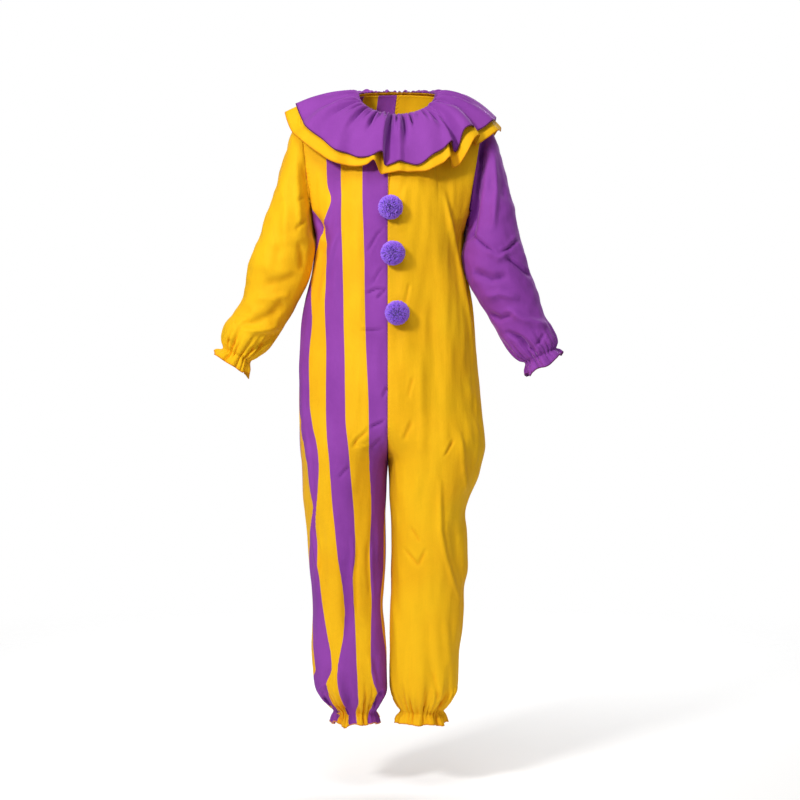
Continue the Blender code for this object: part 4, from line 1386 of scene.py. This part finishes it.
def map_corners(data: bpy.types.Mesh, name: str, values: np.ndarray) -> None:
    """Gives a mesh a map with a pair of values for each point, before any points are merged.

    Args:
        data: the mesh.
        name: of the map.
        values: a pair for each point.
    """
    corners = np.empty(len(data.loops), dtype=np.int32)
    data.loops.foreach_get("vertex_index", corners)
    layer = data.uv_layers.new(name=name)
    layer.uv.foreach_set("vector", values[corners].ravel())


def map_hollows(data: bpy.types.Mesh, rounds: int) -> None:
    """Gives a mesh a map of how deep each point lies in a hollow, below zero on a ridge.

    Args:
        data: the mesh, a grid of evenly spread points.
        rounds: how often the points are evened out to find the cloth's general lie.
    """
    points, normals = read(data)
    ends = np.empty((len(data.edges), 2), dtype=np.int32)
    data.edges.foreach_get("vertices", ends.ravel())
    first, last = np.concatenate([ends, ends[:, ::-1]]).T
    degree = np.bincount(first, minlength=len(points))
    even = points
    for _ in range(rounds):
        around = [np.bincount(first, even[last, axis], len(points)) / degree for axis in range(3)]
        even = (even + np.stack(around, axis=-1)) / 2
    depth = ((even - points) * normals).sum(axis=1)
    # this depth drives the painted shade in the cloth's colour, darker in the hollows
    map_corners(data, "hollow", np.stack([depth, depth], axis=-1))


def near_line(place: np.ndarray, line: np.ndarray) -> tuple[np.ndarray, np.ndarray]:
    """Where points lie beside a line.

    Args:
        place: points, as x and z.
        line: the line's own points.

    Returns:
        The distances to the line, above zero on its left, and the shares of its length there.
    """
    steps = np.diff(line, axis=0)
    run = np.concatenate([[0], np.cumsum(np.linalg.norm(steps, axis=1))])
    best, share = np.full(len(place), 9.0), np.zeros(len(place))
    for start, step, before, after in zip(line, steps, run, run[1:]):
        along = unit(((place - start) @ step) / (step @ step))
        off = place - (start + along[:, None] * step)
        distance = np.linalg.norm(off, axis=1)
        signed = distance * np.where(off[:, 0] * step[1] - off[:, 1] * step[0] > 0, 1, -1)
        closer = distance < np.abs(best)
        best = np.where(closer, signed, best)
        share = np.where(closer, (before + along * (after - before)) / run[-1], share)
    return best, share


@dataclass
class Suit:
    """The sewn suit: its sheets in one mesh, pressed into folds and then cut apart.

    Attributes:
        sheets: the pieces of cloth that it is sewn from.
        wall: the cloth's thickness.
        soft_folds, fine_folds: half the heights of the broad and of the fine folds that it hangs in.
        calm, seam_share: how far from a seam these folds have their full height, and its share at the seam.
        body_scale: how close the folds follow each other round the body and down it.
        sleeve_scale: the same across and along a sleeve, how they slant, through it and slanting back.
        fine_scale: how much closer the fine folds are.
        seam_furrow, furrow_width: how deep and how wide the seams lie.
        crease_ends: over what share of its length a crease grows from its end.
        down: which way the cloth hangs on the right and on the left sleeve.
    """

    sheets: list[Sheet]
    wall: float = 0.0009
    soft_folds: float = 0.0023
    fine_folds: float = 0.0010
    calm: float = 0.02
    seam_share: float = 0.35
    body_scale: tuple[float, float] = (19, 4.2)
    sleeve_scale: tuple[float, float, float, float] = (13, 9, 16, 7)
    fine_scale: float = 3.1
    seam_furrow: float = 0.0010
    furrow_width: float = 0.0028
    crease_ends: float = 0.22
    down: tuple[tuple[float, float], ...] = ((-0.38, -0.92), (0.38, -0.92))

    def __post_init__(self) -> None:
        """Sews the sheets together where their edges meet."""
        points, faces, piece, grain, edges, start = [], [], [], [], [], 0
        for number, sheet in enumerate(self.sheets):
            quads = grid_faces(sheet.points.shape, start)
            faces.append(quads[:, ::-1] if sheet.turned else quads)
            piece.append(np.full(len(quads), number))
            points.append(sheet.points.reshape(-1, 3))
            grain.append(sheet.grain.reshape(-1, 2))
            edges.append(sheet.edges.reshape(-1, 2))
            start += len(points[-1])
        self.nodes = [sheet.node for sheet in self.sheets]
        self.whole = add_mesh("suit", np.concatenate(points), np.concatenate(faces))
        data = self.whole.data
        map_corners(data, "cloth", np.concatenate(grain))
        map_corners(data, "edges", np.concatenate(edges))
        for node in self.nodes:
            data.materials.append(bpy.data.materials.new(f"cut_{node}"))
        data.polygons.foreach_set("material_index", np.concatenate(piece).astype(np.int32))
        weld(self.whole)

    def move(self, points: np.ndarray) -> None:
        """Moves the mesh to these points."""
        self.whole.data.vertices.foreach_set("co", points.ravel())
        self.whole.data.update()

    def corners(self) -> tuple[np.ndarray, np.ndarray, np.ndarray]:
        """Each corner's point, its piece and its distance to the nearest seam.

        Returns:
            Three arrays, with a value for each corner.
        """
        data = self.whole.data
        points = np.empty(len(data.loops), dtype=np.int32)
        piece = np.empty(len(data.polygons), dtype=np.int32)
        data.loops.foreach_get("vertex_index", points)
        data.polygons.foreach_get("material_index", piece)
        edges = np.empty(2 * len(data.loops))
        data.uv_layers["edges"].uv.foreach_get("vector", edges)
        return points, np.repeat(piece, 4)[: len(points)], edges.reshape(-1, 2)[:, 0]

    def press(self, lines: list[Crease]) -> None:
        """Presses the soft folds, the creases and the furrows along the seams into the cloth.

        Args:
            lines: the creases.
        """
        corner, piece, seam = self.corners()
        points, normals = read(self.whole.data)
        near = np.full(len(points), 1.0)
        np.minimum.at(near, corner, seam)
        member = {node: np.zeros(len(points), dtype=bool) for node in self.nodes}
        for number, node in enumerate(self.nodes):
            member[node][corner[piece == number]] = True
        window = self.seam_share + (1 - self.seam_share) * unit(near / self.calm)
        height = self.drape(points, member) * window
        self.move(points + normals * height[:, None])
        points, normals = read(self.whole.data)
        shift = np.zeros((len(points), 3))
        place = seen(points)
        for crease in lines:
            facing = unit(2.2 * crease.face.value * normals[:, 1])
            chosen = np.nonzero(member[crease.node] & (facing > 0))[0]
            beside, share = near_line(place[chosen], crease.line)
            off = beside / crease.width
            ends = unit(np.minimum(share, 1 - share) / self.crease_ends) ** 0.7
            profile = np.exp(-off * off) * ((1 - crease.lean) + crease.lean * 2.2 * off)
            way = normals[chosen] + [0, crease.face.value, 0]
            way *= (crease.height * profile * ends * facing[chosen] / np.linalg.norm(way, axis=1))[:, None]
            shift[chosen] += way
        furrow = self.seam_furrow * np.exp(-((near / self.furrow_width) ** 2))
        self.move(points + shift - normals * furrow[:, None])
        # the hollows' depths, for the painted shade in the cloth's colour
        map_hollows(self.whole.data, 12)

    def drape(self, points: np.ndarray, member: dict[str, np.ndarray]) -> np.ndarray:
        """The heights of the cloth's soft folds, which run down the body and askew on the sleeves.

        Args:
            points: the suit's points.
            member: for each piece, which points are its own.

        Returns:
            How far each point moves out.
        """
        height = np.zeros(len(points))
        sleeves = member["sleeve_right"] | member["sleeve_left"]
        (across, slant, deep, back), (wide, long) = self.sleeve_scale, self.body_scale
        for number, (x, y, z) in enumerate(points):
            if sleeves[number]:
                out, down = self.down[int(x > 0)]
                along, aside = x * out + z * down, x * down - z * out
                spot = Vector((aside * across + along * slant, y * deep, along * across - aside * back))
            else:
                spot = Vector((x * wide, y * wide + 3.1, z * long))
            broad = noise.noise(spot)
            fine = noise.noise(spot * self.fine_scale + Vector((7, 1, 4)))
            height[number] = self.soft_folds * broad * 2 + self.fine_folds * fine * 2
        return height

    def cut(self) -> dict[str, bpy.types.Object]:
        """Cuts the suit apart along its seams and gives every piece the thickness of its cloth.

        Returns:
            The pieces, by the solids that they stand for.
        """
        with editing(self.whole):
            bpy.ops.mesh.separate(type="MATERIAL")
        pieces = {}
        for part in list(bpy.context.selected_objects):
            data = part.data
            node = data.materials[data.polygons[0].material_index].name.removeprefix("cut_")
            part.name = data.name = f"{node}_cloth"
            data.materials.clear()
            pieces[node] = part
        for part in pieces.values():
            thicken(part, self.wall)
        return pieces


def thicken(part: bpy.types.Object, wall: float) -> None:
    """Gives a sheet its thickness, inwards from its outer face.

    Args:
        part: the sheet.
        wall: its thickness.
    """
    only(part)
    shell = part.modifiers.new("wall", "SOLIDIFY")
    shell.thickness, shell.offset, shell.use_quality_normals = wall, -1.0, True
    bpy.ops.object.modifier_apply(modifier=shell.name)
    part.data.shade_smooth()


def make_ruffle(ruffle: Ruffle) -> bpy.types.Object:
    """Makes a ruffle's cloth.

    Args:
        ruffle: what to make.

    Returns:
        The ruffle's object.
    """
    sheet = ruffle.lay()
    part = add_mesh(f"{ruffle.node}_cloth", sheet.points.reshape(-1, 3), grid_faces(sheet.points.shape))
    map_corners(part.data, "cloth", sheet.grain.reshape(-1, 2))
    map_corners(part.data, "edges", sheet.edges.reshape(-1, 2))
    weld(part)
    # the hollows' depths, for the painted shade in the cloth's colour
    map_hollows(part.data, 30)
    thicken(part, Suit.wall)
    return part


@dataclass
class Pompom:
    """A ball of cut yarn, sewn to the front by its core.

    Attributes:
        node: the solid that it stands for.
        x, z: where it is sewn on.
        radius: to the tips of its strands.
        core: to the roots of its strands.
        seat: its middle's distance from the cloth.
        strands: how many strands it has.
        thickness: half of a strand's thickness at its tip.
        joints: the shares of a strand's length where it can bend.
        scatter, uneven, curl: how much the strands vary in direction, length and bend.
        backmost: the cosine of the direction away from the cloth beyond which there are none.
        ball: the radius of the ball between them, in cores.
    """

    node: str
    x: float
    z: float
    radius: float = 0.0243
    core: float = 0.0100
    seat: float = 0.0152
    strands: int = 1500
    thickness: float = 0.00075
    joints: tuple[float, ...] = (0.55, 0.85)
    scatter: float = 0.035
    uneven: float = 0.022
    curl: float = 0.0011
    backmost: float = -0.62
    ball: float = 1.45

    def strand(self) -> tuple[np.ndarray, np.ndarray]:
        """Models one strand that stands on z = 0 and is 1 long, as points and faces.

        Returns:
            The points and the faces.
        """
        bpy.ops.mesh.primitive_cylinder_add(vertices=5, radius=1.0, depth=1.0, location=(0, 0, 0.5))
        made = bpy.context.active_object
        with editing(made):
            for height in self.joints:
                bpy.ops.mesh.select_all(action="SELECT")
                bpy.ops.mesh.bisect(plane_co=(0, 0, height), plane_no=(0, 0, 1))
        bpy.ops.object.transform_apply(location=True)
        points = np.array([tuple(vert.co) for vert in made.data.vertices])
        faces = [tuple(face.vertices) for face in made.data.polygons if face.center.z > 0.01]
        bpy.data.objects.remove(made)
        return points, faces

    def build(self, front: list[bpy.types.Object]) -> bpy.types.Object:
        """Makes the pompom where a line from the front meets the cloth.

        Args:
            front: the pieces that it may be sewn to.

        Returns:
            The pompom's object.
        """
        hits = [part.ray_cast((self.x, -1, self.z), (0, 1, 0)) for part in front]
        spot, normal = min(((hit[1], hit[2]) for hit in hits if hit[0]), key=lambda hit: hit[0].y)
        spot, normal = np.array(spot), np.array(normal)
        chance = np.random.default_rng(round(-self.z * 1e4))
        number = np.arange(self.strands) + 0.5
        tilt, turn = np.arccos(1 - 2 * number / self.strands), np.pi * (1 + 5**0.5) * number
        ways = stack(np.sin(tilt) * np.cos(turn), np.sin(tilt) * np.sin(turn), np.cos(tilt))
        ways += chance.normal(0, self.scatter, ways.shape)
        ways /= np.linalg.norm(ways, axis=1, keepdims=True)
        ways = ways[ways @ normal > self.backmost]
        shape, shape_faces = self.strand()
        aside = np.cross(ways, [0.31, 0.52, 0.79])
        aside /= np.linalg.norm(aside, axis=1, keepdims=True)
        other = np.cross(ways, aside)
        count = len(ways)
        reach = self.radius * (1 + chance.normal(0, self.uneven, count)) - self.core
        bend = chance.normal(0, self.curl, (count, 2, 1))
        thick = self.thickness * chance.uniform(0.8, 1.25, count)[:, None]
        up = shape[None, :, 2]
        width = thick * (0.55 + 0.45 * up)
        along = self.core + reach[:, None] * up
        curve = up**2
        points = ways[:, None] * along[..., None]
        for axis, way in enumerate((aside[:, None], other[:, None])):
            thickness, bow = shape[None, :, axis] * width, bend[:, axis] * curve
            points += way * thickness[..., None] + way * bow[..., None]
        below = np.maximum(-self.seat + 0.0006 - points @ normal, 0)
        points += normal * below[..., None]
        faces = [tuple(corner + start * len(shape) for corner in face)
                 for start in range(count) for face in shape_faces]
        pick = np.repeat(chance.random(count), len(shape))
        depth = np.broadcast_to(up, (count, len(shape))).ravel()
        points = (points + spot + normal * self.seat).reshape(-1, 3)
        part = add_mesh(f"{self.node}_yarn", points, np.array(faces, dtype=object))
        map_corners(part.data, "strand", np.stack([depth, pick], axis=-1))
        middle = tuple(spot + normal * self.seat)
        bpy.ops.mesh.primitive_ico_sphere_add(subdivisions=3, radius=self.core * self.ball, location=middle)
        ball = bpy.context.active_object
        bpy.ops.object.transform_apply(location=True)
        # the ball is mapped as the strands' roots, so it takes their painted shade
        map_corners(ball.data, "strand", np.zeros((len(ball.data.vertices), 2)))
        ball.data.uv_layers.active = ball.data.uv_layers["strand"]
        only(part, ball)
        bpy.ops.object.join()
        return part


@dataclass
class Studio:
    """The pale floor, the soft lights and the camera.

    Attributes:
        floor: the floor's height.
        across: how much of the plane y = 0 the picture takes in.
        sensor: the camera's sensor width in millimetres.
        sky: how strongly the white sky lights the suit.
        lights: for each its name, its place, where it shines to, its size, its power and its warmth.
    """

    floor: float = -1.42
    across: float = 1.656
    sensor: float = 36.0
    sky: float = 0.26
    lights: tuple[tuple, ...] = (
        ("key", (-1.5, -2.4, 0.85), (0.0, 0.0, -0.3), 0.5, 69, 0.3),
        ("top", (-0.2, -1.7, 1.9), (0.0, 0.0, -0.1), 1.4, 28, 0.0),
        ("wash", (0.0, 2.3, 0.5), (0.0, 1.5, floor), 2.4, 45, 0.0),
        ("fill", (2.4, -4.0, 0.4), (0.0, 0.0, -0.6), 2.6, 12, 0.0),
        ("rim", (1.8, 2.4, 1.6), (0.0, 0.0, -0.5), 1.6, 25, 0.0),
    )

    def light(self, name: str, place: tuple, aim: tuple, size: float, power: float, warmth: float) -> None:
        """Adds a square soft light that shines from a place to another.

        Args:
            name: of the light.
            place: where it stands.
            aim: where it shines to.
            size: of its side.
            power: in watts.
            warmth: how far its colour is from white.
        """
        data = bpy.data.lights.new(name, "AREA")
        data.size, data.energy = size, power
        data.color = (1.0, 1.0 - 0.02 * warmth, 1.0 - 0.05 * warmth)
        lamp = bpy.data.objects.new(name, data)
        lamp.location = place
        lamp.rotation_euler = (Vector(aim) - Vector(place)).to_track_quat("-Z", "Y").to_euler()
        bpy.context.scene.collection.objects.link(lamp)

    def build(self) -> None:
        """Makes the floor, lights, sky and camera."""
        bpy.ops.mesh.primitive_plane_add(size=60, location=(0, 0, self.floor))
        floor = bpy.context.active_object
        floor.name = "floor"
        bpy.ops.object.transform_apply(location=True)
        floor.data.materials.append(Paper().dress())
        for light in self.lights:
            self.light(*light)
        scene = bpy.context.scene
        scene.world = scene.world or bpy.data.worlds.new("sky")
        scene.world.use_nodes = True
        tree = scene.world.node_tree
        dim = tree.nodes["Background"]
        dim.inputs["Color"].default_value = grey(1.0)
        dim.inputs["Strength"].default_value = self.sky
        white = tree.nodes.new("ShaderNodeBackground")
        white.inputs["Color"].default_value = grey(1.0)
        path, pick = tree.nodes.new("ShaderNodeLightPath"), tree.nodes.new("ShaderNodeMixShader")
        tree.links.new(path.outputs["Is Camera Ray"], pick.inputs[0])
        tree.links.new(dim.outputs[0], pick.inputs[1])
        tree.links.new(white.outputs[0], pick.inputs[2])
        tree.links.new(pick.outputs[0], tree.nodes["World Output"].inputs["Surface"])
        scene.view_settings.view_transform = "Standard"
        data = bpy.data.cameras.new("camera")
        data.sensor_width = self.sensor
        data.lens = self.sensor * -CAMERA[1] / self.across
        camera = bpy.data.objects.new("camera", data)
        camera.location, camera.rotation_euler = CAMERA, (math.pi / 2, 0, 0)
        scene.collection.objects.link(camera)
        scene.camera = camera


YELLOW = WovenCloth(
    "yellow_weave", (0.93, 0.518, 0.009, 1), (0.84, 0.385, 0.006, 1), (0.62, 0.21, 0.004, 1), sheen=0.02
)
PURPLE = WovenCloth(
    "purple_weave", (0.30, 0.062, 0.410, 1), (0.20, 0.035, 0.285, 1), (0.080, 0.010, 0.050, 1),
    sheen=0.34, gloss=(0.85, 0.5, 1.0, 1),
)
STRIPED = StripedCloth(
    "striped_weave", YELLOW.colour, YELLOW.deep, YELLOW.edging, sheen=0.06, gloss=PURPLE.gloss,
    stripe=PURPLE.colour, stripe_deep=PURPLE.deep,
)
# the pompoms' yarn; its second colour, at the strands' roots, is painted shade
YARN = Yarn("pompom_fluff", (0.31, 0.095, 0.93, 1), (0.055, 0.025, 0.30, 1), (0.50, 0.24, 1.0, 1))

# Each piece of cloth: its finish, its slot, and its flat cut's width, length and area.
CUTS = {
    "front_right": (STRIPED, "striped_cloth", 0.33, 1.33, 0.34),
    "back_right": (STRIPED, "striped_cloth", 0.33, 1.36, 0.34),
    "front_left": (YELLOW, "yellow_cloth", 0.33, 1.33, 0.34),
    "back_left": (YELLOW, "yellow_cloth", 0.33, 1.36, 0.34),
    "sleeve_right": (YELLOW, "yellow_cloth", 0.42, 0.62, 0.19),
    "sleeve_left": (PURPLE, "purple_cloth", 0.42, 0.62, 0.19),
    "collar_top": (PURPLE, "purple_cloth", 1.25, 0.15, 0.14),
    "collar_under": (YELLOW, "yellow_cloth", 1.40, 0.17, 0.17),
}


def hand_over(part: bpy.types.Object, node: str) -> None:
    """Lets a piece stand for a solid and move with the suit.

    Args:
        part: the piece.
        node: the solid that it stands for.
    """
    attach(part, "root")
    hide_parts(node)
    LOG.info("%s: %d faces", part.name, len(part.data.polygons))


def main() -> None:
    """Makes the suit, the ruffles, the pompoms and the studio."""
    logging.basicConfig(level=logging.INFO, format="%(name)s %(message)s")
    neckline = Neckline()
    sleeves = {side: Sleeve(side) for side in Side}
    panels = [Panel(side, face, neckline, sleeves[side]) for side in Side for face in Face]
    suit = Suit([piece.lay() for piece in [*panels, *sleeves.values()]])
    suit.press(creases())
    pieces = suit.cut()
    for ruffle in (
        Ruffle("collar_top", neckline, (0.0, 1.0), 0),
        Ruffle("collar_under", neckline, (0.0, 1.13), 1, tuck_height=0.0008),
    ):
        pieces[ruffle.node] = make_ruffle(ruffle)
    cloths = {}
    for node, part in pieces.items():
        finish, slot, width, length, area = CUTS[node]
        if finish.name not in cloths:
            cloths[finish.name] = finish.dress()
        part.data.materials.append(cloths[finish.name])
        hand_over(part, node)
    yarn = YARN.dress()
    front = [pieces["front_right"], pieces["front_left"]]
    for pompom in (
        Pompom("pompom_top", 0.0079, -0.2300),
        Pompom("pompom_middle", 0.0114, -0.3185),
        Pompom("pompom_bottom", 0.0197, -0.4385),
    ):
        part = pompom.build(front)
        part.data.materials.clear()
        part.data.materials.append(yarn)
        hand_over(part, pompom.node)
    Studio().build()


if __name__ == "__main__":
    main()
